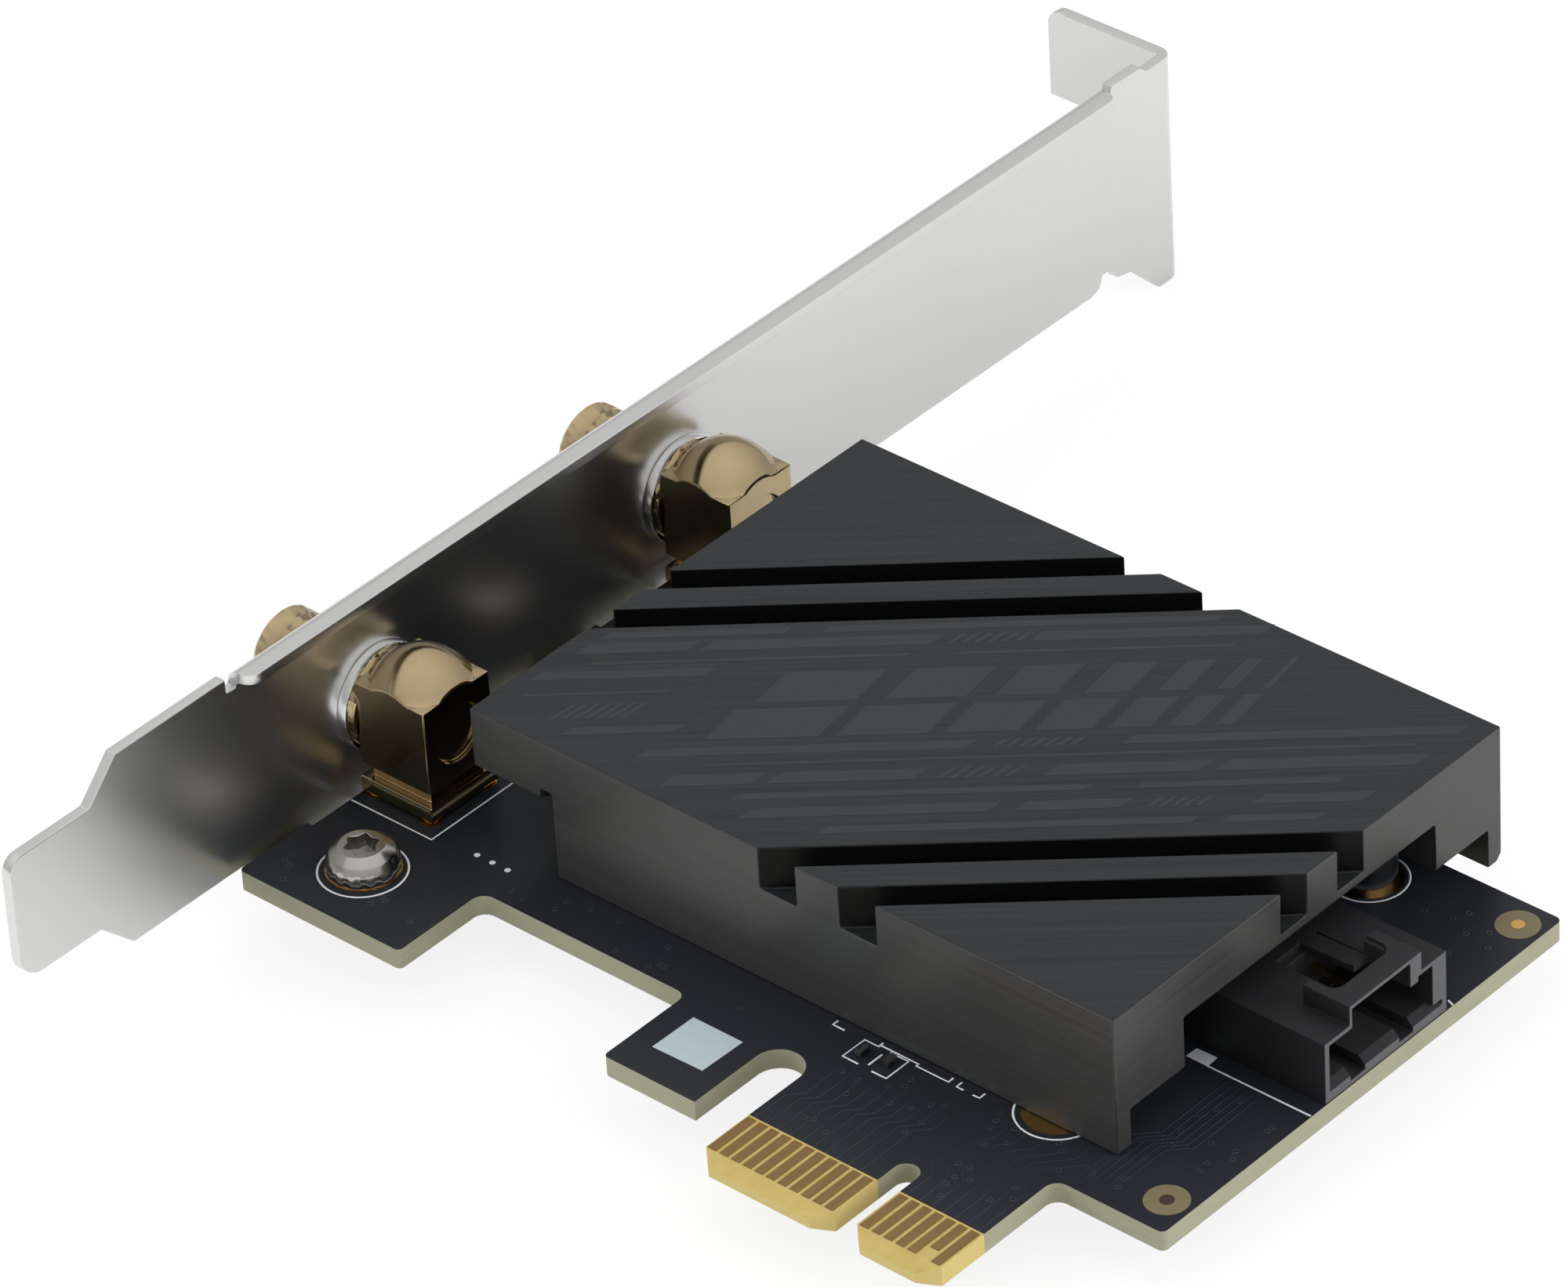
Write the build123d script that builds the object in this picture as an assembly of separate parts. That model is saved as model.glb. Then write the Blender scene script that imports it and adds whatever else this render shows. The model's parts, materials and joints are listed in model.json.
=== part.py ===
from build123d import *
import math
import os

# Frame: millimetres, origin at the key notch centre on the finger edge, half way through the board
# +X runs from the bracket to the far board edge, +Y from the fingers to the bracket tab, +Z up

# Board
board_t = 1.57
top = board_t / 2
under = -board_t / 2
board_left = -56.9
board_right = 17.0
board_front = 4.2
board_step = 12.4
board_back = 54.0
recess_depth = 0.5
recess_1 = (10.9, 34.5)
recess_2 = (40.05, 54.5)

# Finger tongue
tongue_left = -11.97
tongue_right = 8.02
tongue_chamfer = 1.2
bevel_run = 1.2
bevel_drop = 0.44
key_half = 0.95
key_top = 8.0
slot_left = -15.67
slot_top = 12.15
contact_pitch = 1.0
contact_w = 0.7
contact_y0 = 1.2
contact_y1 = 5.17
plating = 0.05
left_contacts = [-11.5 + contact_pitch * i for i in range(11)]
right_contacts = [1.5 + contact_pitch * i for i in range(7)]
short_trim = 1.1

# Bracket sheet
sheet = 0.86
plate_in = -57.4
plate_out = plate_in - sheet
plate_y0 = -15.6
plate_y1 = 104.8
tongue_z0 = 2.15
tongue_z1 = 12.05
plate_top = 15.0
flange_top = 15.15
flange_x = -55.95
flange_y0 = 6.1
flange_y1 = plate_y1 - 8.1
low_front = -0.52
low_back = -1.8
tab_x = -68.85
tab_z0 = -4.9
tab_z1 = 14.3
tab_notch_w = 4.42
tab_notch_z = 4.6
tab_notch_x = -63.35
foot_x = -46.7
foot_half = 2.75
bend_in = 0.4

# Bracket screws
screw_x = -50.3
screw_ys = (9.5, 37.3)
screw_r = 1.45
screw_len = 4.0
screw_head_r = 2.58
screw_head_h = 2.0
screw_rim_h = 0.9
screw_tip = 0.3
screw_gap = 0.1
recess_out = 1.3
recess_in = 0.95
recess_deep = 1.1

# Antenna connectors
conn_x = -53.07
conn_ys = (19.06, 50.05)
conn_axis = top + 5.95
cube_half = 3.23
cube_z0 = top + 2.57
cube_z1 = top + 9.3
dome_rise = 1.05
dome_r = 3.55
waist_step = 0.55
base_half = 3.31
base_z0 = top + 0.19
base_z1 = top + 1.44
leg_pitch = 2.54
leg_r = 0.55
leg_z0 = under - 0.9
leg_gap = 0.1
pin_sides = 12
collar_r = 3.6
barrel_r = 3.17
neck_r = 2.93
barrel_chamfer = 0.3
barrel_end = -66.4
bore_r = 2.3
bore_end = -62.5
ptfe_r = 2.05
ptfe_gap = 0.03
ptfe_front = -64.4
ptfe_back = conn_x + 1.87
pin_r = 0.46
pin_gap = 0.03
pin_tip = -66.0
tail_r = 0.4
tail_bore_r = 1.1
pocket_r = 2.2
pocket_depth = 0.95
ring_r = 4.05
ring_bore = 3.25
ring_t = 0.8
lock_t = 0.6
lock_r = 4.25
nut_af = 8.0
nut_t = 2.2
nut_gap = 0.04
nut_face = plate_out - lock_t - nut_t
thread_start = nut_face - 0.1
lock_slots = 8
lock_slot_w = 0.6
lock_slot_deep = 0.45
hole_r = 3.35

# Heatsink
sink_x0 = -46.2
sink_x1 = 9.75
sink_y0 = 16.65
sink_y1 = 56.8
sink_top = top + 11.0
sink_under = top + 7.0
skirt_x1 = -39.65
skirt_z = top + 6.3
wall_t = 1.45
wall_x0 = -39.6
wall_z0 = top + 0.1
block_x = 6.35
front_block_y1 = 23.65
front_block_z = top + 3.0
back_block_y0 = 49.7
back_block_z = top + 3.2
groove_angle = 40.2
groove_w = 2.05
groove_floor = top + 7.7
groove_reach = 35.0
groove_mid = 20.0
groove_lines = [(-20.9, 56.8), (-14.05, 56.8), (-18.9, 16.65), (-11.95, 16.65)]
sink_seat = 0.05

# Heatsink mounts
stud_r = 2.0
stud_bore = 0.85
stud_at = [(3.96, 49.85), (-36.5, 50.0), (-36.5, 20.4)]
front_boss = (3.7, 17.9)
mount_screw_r = 0.8
mount_head_r = 1.9
mount_head_h = 1.0
mount_reach = 4.5
mount_gap = 0.3
pad_r = 2.43
pad_sides = 24
mark_at = [(15.04, 15.17), (15.02, 51.75)]
mark_r = 0.48

# Radio module under the heatsink
mod_c = (-24.0, 36.5)
mod_w = 20.0
mod_l = 24.0
mod_t = 0.8
mod_x0 = mod_c[0] - mod_w / 2
mod_x1 = mod_c[0] + mod_w / 2
mod_y0 = mod_c[1] - mod_l / 2
notch_r = 0.35
notch_pitch = 1.5
notch_first = 2.2
can_w = 17.0
can_l = 20.0
can_h = 1.7
can_wall = 0.2
pad_w = 15.0
pad_l = 17.0
pad_t = 1.0

# Accessory header
head_x0 = 8.1
head_x1 = 16.95
head_y0 = 29.0
head_y1 = 41.65
head_h = 4.88
head_raise = 6.4
raise_y0 = 31.6
raise_y1 = 39.1
head_wall = 0.5
head_floor = 0.4
cavity_x0 = 9.4
cavity_z1 = 4.5
cavity_raise = 6.05
rib_z = 1.3
ribs = [(29.5, 31.6), (33.1, 36.7), (38.1, 41.15)]
bridge_x0 = 13.1
window_y = (32.4, 38.2)
window_x1 = 15.2
window_round = 0.9
slot_y = (34.0, 38.2)
slot_x0 = 8.9
arm_y = (36.5, 37.95)
arm_x1 = 13.4
arm_lift = 0.2
arm_t = 0.55
pin_pitch = 2.0
pin_side = 0.5
pin_ys = [35.3 + pin_pitch * (i - 2) for i in range(5)]
pin_z = top + 2.7
pin_front = 13.2
pin_back = 7.2
pin_fit = 0.02

# Small parts, as length, width, height and end cap
big_chip = (1.6, 0.8, 0.8, 0.35)
small_chip = (1.0, 0.5, 0.4, 0.22)
tall_chip = (0.5, 1.0, 0.5, 0.25)
solder_film = 0.03
beside_gap = 2.4
before_gap = 2.5
crystal_gap = 1.0
crystal_w = 3.2
crystal_l = 2.5


def slab(x0, x1, y0, y1, z0, z1):
    """Box between two corners."""
    centre = Pos((x0 + x1) / 2, (y0 + y1) / 2, (z0 + z1) / 2)
    return centre * Box(x1 - x0, y1 - y0, z1 - z0)


def rod(x, y, z0, z1, r):
    """Upright cylinder between two heights."""
    return Pos(x, y, (z0 + z1) / 2) * Cylinder(r, z1 - z0)


def rod_x(y, z, x0, x1, r):
    """Cylinder lying along X between two stations."""
    return Pos((x0 + x1) / 2, y, z) * Rot(0, 90, 0) * Cylinder(r, x1 - x0)


def many_sided(x, y, z0, z1, r, sides):
    """Upright prism whose flats lie at one radius."""
    face = Pos(x, y, z0) * RegularPolygon(r, sides, major_radius=False)
    return extrude(face, amount=z1 - z0, dir=(0, 0, 1))


def turned(x, y, profile):
    """Solid of revolution about an upright axis, over radius and height."""
    face = make_face(Polyline([Vector(x + r, y, z) for r, z in profile], close=True))
    return revolve(face, axis=Axis((x, y, 0), (0, 0, 1)))


def turned_x(y, z, profile):
    """Solid of revolution about a line along X, over station and radius."""
    face = make_face(Polyline([Vector(x, y, z + r) for x, r in profile], close=True))
    return revolve(face, axis=Axis((0, y, z), (1, 0, 0)))


def plan(points, z0, z1):
    """Prism over a plan outline."""
    face = make_face(Polyline([Vector(x, y, z0) for x, y in points], close=True))
    return extrude(face, amount=z1 - z0, dir=(0, 0, 1))


def side(points, x0, x1):
    """Prism along X over an outline given as Y and Z."""
    face = make_face(Polyline([Vector(x0, y, z) for y, z in points], close=True))
    return extrude(face, amount=x1 - x0, dir=(1, 0, 0))


def front(points, y0, y1):
    """Prism along Y over an outline given as X and Z."""
    face = make_face(Polyline([Vector(x, y0, z) for x, z in points], close=True))
    return extrude(face, amount=y1 - y0, dir=(0, 1, 0))


def upright_edges(shape, x, y, reach=0.05):
    """Edges along Z that stand at one plan point."""
    picked = []
    for edge in shape.edges().filter_by(Axis.Z):
        middle = edge.center()
        if math.hypot(middle.X - x, middle.Y - y) < reach:
            picked.append(edge)
    return picked


def cross_edges(shape, y, z, reach=0.05):
    """Edges along X that pass one point given as Y and Z."""
    picked = []
    for edge in shape.edges().filter_by(Axis.X):
        middle = edge.center()
        if math.hypot(middle.Y - y, middle.Z - z) < reach:
            picked.append(edge)
    return picked


def gather(pieces):
    """Join loose pieces in one compound."""
    solids = []
    for piece in pieces:
        solids.extend(piece.solids())
    return Compound(children=solids)


def save(shape, name):
    """Write one node."""
    export_step(shape, f"parts/{name}.step")


# Circuit board
def circuit_board():
    c = tongue_chamfer
    outline = [
        (board_left, board_front),
        (-42.1, board_front),
        (-42.1, board_step),
        (-23.7, board_step),
        (-23.7, board_front),
        (tongue_left, board_front),
        (tongue_left, c),
        (tongue_left + c, 0),
        (-key_half - c, 0),
        (-key_half, c),
        (key_half, c),
        (key_half + c, 0),
        (tongue_right - c, 0),
        (tongue_right, c),
        (tongue_right, board_step),
        (board_right, board_step),
        (board_right, board_back),
        (board_left, board_back),
    ]
    board = plan(outline, under, top)
    board -= slab(-key_half, key_half, -1, key_top - key_half, -2, 2)
    board -= rod(0, key_top - key_half, -2, 2, key_half)
    slot_r = (tongue_left - slot_left) / 2
    slot_x = (tongue_left + slot_left) / 2
    board -= slab(slot_left, tongue_left, -1, slot_top - slot_r, -2, 2)
    board -= rod(slot_x, slot_top - slot_r, -2, 2, slot_r)
    rounds = [
        (-42.1, board_step, 1.0),
        (-23.7, board_step, 0.8),
        (tongue_right, board_step, 1.0),
        (board_right, board_step, 0.5),
        (board_right, board_back, 0.5),
        (board_left, board_front, 0.4),
        (-42.1, board_front, 0.4),
        (-23.7, board_front, 0.4),
    ]
    for x, y, r in rounds:
        board = fillet(upright_edges(board, x, y), r)
    for y0, y1 in (recess_1, recess_2):
        board -= slab(board_left - 1, board_left + recess_depth, y0, y1, -2, 2)
    for s in (1, -1):
        wedge = [(-0.2, s * (top + 0.2)), (bevel_run, s * (top + 0.2)), (bevel_run, s * top)]
        wedge += [(0.0, s * (top - bevel_drop)), (-0.2, s * (top - bevel_drop - 0.07))]
        board -= side(wedge, tongue_left - 1, tongue_right + 1)
    for y in screw_ys:
        board -= rod(screw_x, y, -2, 2, screw_r + screw_gap)
    for x, y in stud_at + [front_boss]:
        board -= rod(x, y, -2, 2, mount_screw_r + mount_gap)
    for y in conn_ys:
        for sx in (-1, 1):
            for sy in (-1, 1):
                hx = conn_x + sx * leg_pitch
                hy = y + sy * leg_pitch
                board -= many_sided(hx, hy, -2, 2, leg_r + leg_gap, pin_sides)
        board -= many_sided(conn_x, y, -2, 2, tail_r + leg_gap, pin_sides)
    for y in pin_ys:
        board -= many_sided(pin_back, y, -2, 2, pin_side * 0.7072 + leg_gap, pin_sides)
    return board


# Finger contacts
def finger(x, y0, z0):
    return slab(x - contact_w / 2, x + contact_w / 2, y0, contact_y1, z0, z0 + plating)


def edge_contacts(z0, short_x):
    pads = []
    for x in left_contacts + right_contacts:
        start = contact_y0 + short_trim if abs(x - short_x) < 0.1 else contact_y0
        pads.append(finger(x, start, z0))
    return gather(pads)


# Plated pads on the board
def ring_pad(x, y, r_out, r_in):
    disc = many_sided(x, y, top, top + plating, r_out, pad_sides)
    return disc - many_sided(x, y, top - 1, top + 1, r_in, pad_sides)


def plated_pads():
    pads = []
    for y in screw_ys:
        pads.append(ring_pad(screw_x, y, screw_head_r + 0.06, screw_r + screw_gap))
    for x, y in stud_at + [front_boss]:
        pads.append(ring_pad(x, y, pad_r, mount_screw_r + mount_gap))
    for x, y in mark_at:
        pads.append(many_sided(x, y, top, top + plating, mark_r, pin_sides))
    return gather(pads)


# Bracket
def bracket_profile():
    r = bend_in
    block = slab(plate_out, plate_in, plate_y0, plate_y1, -6, 17)
    block += slab(tab_x, plate_in, plate_y1 - sheet, plate_y1, -6, 17)
    block = fillet(upright_edges(block, plate_in, plate_y1), r + sheet)
    block = fillet(upright_edges(block, plate_out, plate_y1 - sheet), r)
    return block


def bracket_outline():
    t = top
    end = plate_y1
    points = [
        (plate_y0, t + tongue_z0),
        (-8.2, t + tongue_z0),
        (-5.4, t + low_front),
        (5.2, t + low_front),
        (6.0, t + low_back),
        (end - 10.3, t + low_back),
        (end - 9.3, t + low_back + 0.3),
        (end - 8.9, t + low_front),
        (end - 8.1, t + low_front),
        (end - 7.2, t + low_back + 0.2),
        (end - 5.6, t + low_back - 0.1),
        (end - 2.5, t + tab_z0),
        (end + 1, t + tab_z0),
        (end + 1, t + tab_z1),
        (end - 3.2, t + tab_z1),
        (end - 4.0, t + plate_top),
        (end - 7.2, t + plate_top),
        (end - 7.5, t + 14.2),
        (end - 8.5, t + 14.2),
        (end - 8.9, t + plate_top),
        (-5.3, t + plate_top),
        (-8.1, t + tongue_z1),
        (plate_y0, t + tongue_z1),
    ]
    shape = side(points, tab_x - 1, plate_in + 1)
    shape = fillet(cross_edges(shape, plate_y0, t + tongue_z0), 2.0)
    shape = fillet(cross_edges(shape, plate_y0, t + tongue_z1), 1.3)
    return shape


def bracket_flange():
    z1 = top + flange_top
    flange = slab(plate_out, flange_x, flange_y0, flange_y1, z1 - sheet, z1)
    flange += slab(plate_out, plate_in, flange_y0, flange_y1, z1 - 4, z1)
    outer = []
    for edge in flange.edges().filter_by(Axis.Y):
        middle = edge.center()
        if abs(middle.X - plate_out) < 0.01 and abs(middle.Z - z1) < 0.01:
            outer.append(edge)
    flange = fillet(outer, bend_in + sheet)
    inner = []
    for edge in flange.edges().filter_by(Axis.Y):
        middle = edge.center()
        if abs(middle.X - plate_in) < 0.01 and abs(middle.Z - z1 + sheet) < 0.01:
            inner.append(edge)
    flange = fillet(inner, bend_in)
    flange = fillet(upright_edges(flange, flange_x, flange_y0), 1.2)
    return fillet(upright_edges(flange, flange_x, flange_y1), 1.0)


def bracket_foot(y):
    z1 = under
    foot = slab(plate_out, foot_x, y - foot_half, y + foot_half, z1 - sheet, z1)
    foot += slab(plate_out, plate_in, y - foot_half, y + foot_half, z1 - sheet, z1 + 3)
    outer = []
    for edge in foot.edges().filter_by(Axis.Y):
        middle = edge.center()
        if abs(middle.X - plate_out) < 0.01 and abs(middle.Z - z1 + sheet) < 0.01:
            outer.append(edge)
    foot = fillet(outer, 0.1 + sheet)
    foot = fillet(upright_edges(foot, foot_x, y - foot_half), 1.0)
    return fillet(upright_edges(foot, foot_x, y + foot_half), 1.0)


def bracket():
    sheet_part = bracket_profile() & bracket_outline()
    z1 = top + flange_top
    sheet_part -= slab(plate_out - 0.5, plate_in + 1, flange_y0, flange_y1, z1 - 2, z1 + 1)
    flange = bracket_flange()
    sheet_part += flange
    sheet_part -= slab(plate_out - 1, flange_x + 1, 5.2, flange_y0, z1 - 1.3, z1 + 1)
    for y in screw_ys:
        sheet_part += bracket_foot(y)
        sheet_part -= rod(screw_x, y, -6, 3, screw_r + screw_gap / 2)
    for y in conn_ys:
        sheet_part -= rod_x(y, conn_axis, plate_out - 1, plate_in + 1, hole_r)
    z = top + tab_notch_z
    half = tab_notch_w / 2
    sheet_part -= slab(tab_x - 1, tab_notch_x, plate_y1 - 2, plate_y1 + 1, z - half, z + half)
    cutter = Pos(tab_notch_x, plate_y1, z) * Rot(90, 0, 0) * Cylinder(half, 4)
    sheet_part -= cutter
    corners = []
    for edge in sheet_part.edges().filter_by(Axis.Y):
        middle = edge.center()
        ends = (top + tab_z0, top + tab_z1)
        if abs(middle.X - tab_x) < 0.01 and min(abs(middle.Z - e) for e in ends) < 0.01:
            corners.append(edge)
    return fillet(corners, 1.3)


# Bracket screws
def bracket_screw(y):
    """Pan head on a plain shank, turned in one, with a six-point recess."""
    z0 = top + plating
    z1 = z0 + screw_head_h
    tip_z = z0 - screw_len
    profile = [
        (0, tip_z),
        (screw_r - screw_tip, tip_z),
        (screw_r, tip_z + screw_tip),
        (screw_r, z0),
        (screw_head_r, z0),
        (screw_head_r, z0 + screw_rim_h),
        (screw_head_r - 0.28, z1 - 0.5),
        (screw_head_r - 0.95, z1),
        (0, z1),
    ]
    screw = turned(screw_x, y, profile)
    star = []
    for i in range(12):
        a = math.radians(30 * i)
        r = recess_in if i % 2 else recess_out
        star.append((screw_x + r * math.cos(a), y + r * math.sin(a)))
    return screw - plan(star, z1 - recess_deep, z1 + 1)


# Heatsink
def groove(x, y):
    """Slanted channel through the top, passing one point on a face."""
    a = math.radians(groove_angle)
    toward = 1 if y < 30 else -1
    mid_x = x + toward * groove_mid * math.cos(a)
    mid_y = y + toward * groove_mid * math.sin(a)
    half = groove_w / 2
    bar = slab(-groove_reach, groove_reach, -half, half, groove_floor, sink_top + 1)
    return Pos(mid_x, mid_y, 0) * Rot(0, 0, groove_angle) * bar


def heatsink():
    body = slab(sink_x0, sink_x1, sink_y0, sink_y1, sink_under, sink_top)
    body += slab(sink_x0, skirt_x1, sink_y0, sink_y1, skirt_z, sink_under + 1)
    z = sink_under + 1
    body += slab(wall_x0, sink_x1, sink_y0, sink_y0 + wall_t, wall_z0, z)
    body += slab(wall_x0, sink_x1, sink_y1 - wall_t, sink_y1, wall_z0, z)
    body += slab(block_x, sink_x1, sink_y0 + 0.5, front_block_y1, front_block_z, z)
    body += slab(block_x, sink_x1, back_block_y0, sink_y1 - 0.5, back_block_z, z)
    x, y = front_boss
    boss = rod(x, y, top + plating, z, stud_r) & slab(-9, 9, sink_y0, 30, -1, 20)
    body += boss
    corners = []
    for edge in body.edges().filter_by(Axis.X):
        middle = edge.center()
        if abs(middle.Z - wall_z0) < 0.01 and abs(middle.Y - sink_y1) < 0.01:
            corners.append(edge)
    body = chamfer(corners, 0.5)
    body = chamfer(upright_edges(body, wall_x0, sink_y0), 0.5)
    x, y = mod_c
    seat_z = top + sink_seat + mod_t + can_h + pad_t
    body += slab(x - pad_w / 2, x + pad_w / 2, y - pad_l / 2, y + pad_l / 2, seat_z, z)
    body -= rod(front_boss[0], front_boss[1], -2, top + mount_reach, stud_bore)
    for gx, gy in groove_lines:
        body -= groove(gx, gy)
    return body


def heatsink_standoffs():
    posts = []
    for x, y in stud_at:
        post = rod(x, y, top + plating, sink_under, stud_r)
        posts.append(post - rod(x, y, -2, top + mount_reach, stud_bore))
    return gather(posts)


def heatsink_screws():
    screws = []
    for x, y in stud_at + [front_boss]:
        low = under - mount_head_h
        profile = [
            (0, low),
            (mount_head_r - 0.35, low),
            (mount_head_r, low + 0.35),
            (mount_head_r, under),
            (0, under),
        ]
        screw = turned(x, y, profile)
        tip = top + mount_reach - 0.5
        screw += many_sided(x, y, under, tip, mount_screw_r - 0.03, pin_sides)
        screw -= slab(x - 1.2, x + 1.2, y - 0.2, y + 0.2, low - 1, low + 0.5)
        screw -= slab(x - 0.2, x + 0.2, y - 1.2, y + 1.2, low - 1, low + 0.5)
        screws.append(screw)
    return gather(screws)


# Radio module
def module_board():
    x, y = mod_c
    z0 = top + sink_seat
    board = slab(x - mod_w / 2, x + mod_w / 2, y - mod_l / 2, y + mod_l / 2, z0, z0 + mod_t)
    count = int((mod_l - 2 * notch_first) / notch_pitch) + 1
    for i in range(count):
        py = mod_y0 + notch_first + notch_pitch * i
        for px in (mod_x0, mod_x1):
            board -= many_sided(px, py, z0 - 1, z0 + 2, notch_r, 8)
    return board


def module_shield():
    x, y = mod_c
    z0 = top + sink_seat + mod_t
    can = slab(x - can_w / 2, x + can_w / 2, y - can_l / 2, y + can_l / 2, z0, z0 + can_h)
    inset = can_wall
    rooms = slab(
        x - can_w / 2 + inset,
        x + can_w / 2 - inset,
        y - can_l / 2 + inset,
        y + can_l / 2 - inset,
        z0 - 1,
        z0 + can_h - inset,
    )
    can = chamfer(can.edges().group_by(Axis.Z)[-1], 0.15)
    return can - rooms


def thermal_pad():
    x, y = mod_c
    z0 = top + sink_seat + mod_t + can_h
    half_w = pad_w / 2 - 0.3
    half_l = pad_l / 2 - 0.3
    return slab(x - half_w, x + half_w, y - half_l, y + half_l, z0, z0 + pad_t)


# Antenna connectors
def connector_dome(y):
    """Shallow cap on the cube, cut by the four sides."""
    rise = dome_rise
    r = (dome_r * dome_r + rise * rise) / (2 * rise)
    ball = Pos(conn_x, y, cube_z1 + rise - r) * Sphere(r)
    x0, x1 = conn_x - cube_half, conn_x + cube_half
    return ball & slab(x0, x1, y - cube_half, y + cube_half, cube_z1 - 0.2, cube_z1 + 3)


def connector_barrel(y):
    """Collar, undercut neck and threaded end, turned as one."""
    back = plate_in + ring_t
    cube_back = conn_x - cube_half + 0.05
    profile = [
        (conn_x, 0),
        (conn_x, neck_r),
        (cube_back, neck_r),
        (cube_back, collar_r),
        (back, collar_r),
        (back, neck_r),
        (thread_start, neck_r),
        (thread_start, barrel_r),
        (barrel_end + barrel_chamfer, barrel_r),
        (barrel_end, barrel_r - barrel_chamfer),
        (barrel_end, 0),
    ]
    return turned_x(y, conn_axis, profile)


def connector_body(y):
    """Domed cube over a waist, a base plate and four legs."""
    h = cube_half
    b = base_half
    body = slab(conn_x - h, conn_x + h, y - h, y + h, cube_z0, cube_z1)
    body += connector_dome(y)
    body += slab(conn_x - b, conn_x + b, y - b, y + b, base_z0, base_z1)
    waist = h - waist_step
    body += slab(conn_x - waist, conn_x + waist, y - waist, y + waist, base_z1, cube_z0)
    for sx in (-1, 1):
        for sy in (-1, 1):
            lx = conn_x + sx * leg_pitch
            ly = y + sy * leg_pitch
            body += many_sided(lx, ly, leg_z0, base_z0, leg_r - 0.02, 8)
    body += connector_barrel(y)
    body -= rod_x(y, conn_axis, barrel_end - 1, bore_end, bore_r)
    body -= rod_x(y, conn_axis, bore_end - 1, ptfe_back, ptfe_r + ptfe_gap)
    body -= many_sided(conn_x, y, -1, conn_axis, tail_bore_r, pin_sides)
    x1 = conn_x + cube_half
    return body - rod_x(y, conn_axis, x1 - pocket_depth, x1 + 1, pocket_r)


def connector_insulator(y):
    core = rod_x(y, conn_axis, ptfe_front, ptfe_back, ptfe_r)
    core -= rod_x(y, conn_axis, ptfe_front - 1, conn_x + tail_r + 0.1, pin_r + pin_gap)
    gap = tail_r + pin_gap
    return core - many_sided(conn_x, y, conn_axis - 4, conn_axis, gap, pin_sides)


def connector_pin(y):
    """Centre pin with a cropped tip, and the tail that turns down to the board."""
    profile = [
        (conn_x + tail_r, 0),
        (conn_x + tail_r, pin_r),
        (pin_tip + 0.2, pin_r),
        (pin_tip, pin_r - 0.2),
        (pin_tip, 0),
    ]
    tail = many_sided(conn_x, y, leg_z0 + 0.2, conn_axis, tail_r - 0.02, 8)
    return turned_x(y, conn_axis, profile) + tail


def connector_ring(y):
    ring = rod_x(y, conn_axis, plate_in, plate_in + ring_t, ring_r)
    return ring - rod_x(y, conn_axis, plate_in - 1, plate_in + 3, ring_bore)


def connector_lock_washer(y):
    """Thin washer with a ring of straight notches round its edge."""
    x1 = plate_out
    washer = rod_x(y, conn_axis, x1 - lock_t, x1, lock_r)
    for i in range(lock_slots):
        notch = Box(3 * lock_t, lock_slot_w, 2 * lock_slot_deep)
        turn = Rot(360 / lock_slots * i, 0, 0)
        washer -= Pos(x1 - lock_t / 2, y, conn_axis) * turn * Pos(0, 0, lock_r) * notch
    return washer - rod_x(y, conn_axis, x1 - 3, x1 + 1, ring_bore)


def connector_nut(y):
    x1 = plate_out - lock_t
    r = nut_af / math.sqrt(3)
    points = []
    for i in range(6):
        a = math.radians(60 * i + 30)
        points.append((y + r * math.cos(a), conn_axis + r * math.sin(a)))
    nut = side(points, x1 - nut_t, x1)
    cone = rod_x(y, conn_axis, x1 - nut_t, x1, r)
    rims = cone.edges().filter_by(GeomType.CIRCLE)
    cone = chamfer(rims, 0.35)
    nut = nut & cone
    return nut - rod_x(y, conn_axis, x1 - nut_t - 1, x1 + 1, neck_r + nut_gap)


# Accessory header
def header_cavity():
    """Room for the plug, higher under the bridge, with two keyways in the floor."""
    y0 = head_y0 + head_wall
    y1 = head_y1 - head_wall
    x1 = head_x1 + 1
    z = top + rib_z
    room = slab(cavity_x0, x1, y0, y1, z, top + cavity_z1)
    room += slab(bridge_x0 + 0.35, x1, raise_y0 + 0.3, raise_y1 - 0.4, z, top + cavity_raise)
    for near, far in zip(ribs, ribs[1:]):
        room += slab(cavity_x0 + 1, x1, near[1], far[0], top + head_floor, z + 0.1)
    return room


def header_window():
    """Opening behind the bridge, with rounded front corners."""
    z1 = top + head_raise + 1
    window = slab(bridge_x0 - 1, window_x1, window_y[0], window_y[1], top + head_h, z1)
    for y in window_y:
        window = fillet(upright_edges(window, window_x1, y), window_round)
    window += slab(slot_x0, bridge_x0 + 0.5, slot_y[0], slot_y[1], top + cavity_z1 - 0.1, z1)
    return window


def header_arm():
    """Latch arm that rises toward its free end."""
    z0 = top + head_h
    slope = [(slot_x0 - 0.3, z0 - arm_t), (slot_x0 - 0.3, z0)]
    slope += [(arm_x1, z0 + arm_lift), (arm_x1, z0 + arm_lift - arm_t)]
    return front(slope, arm_y[0], arm_y[1])


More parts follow.
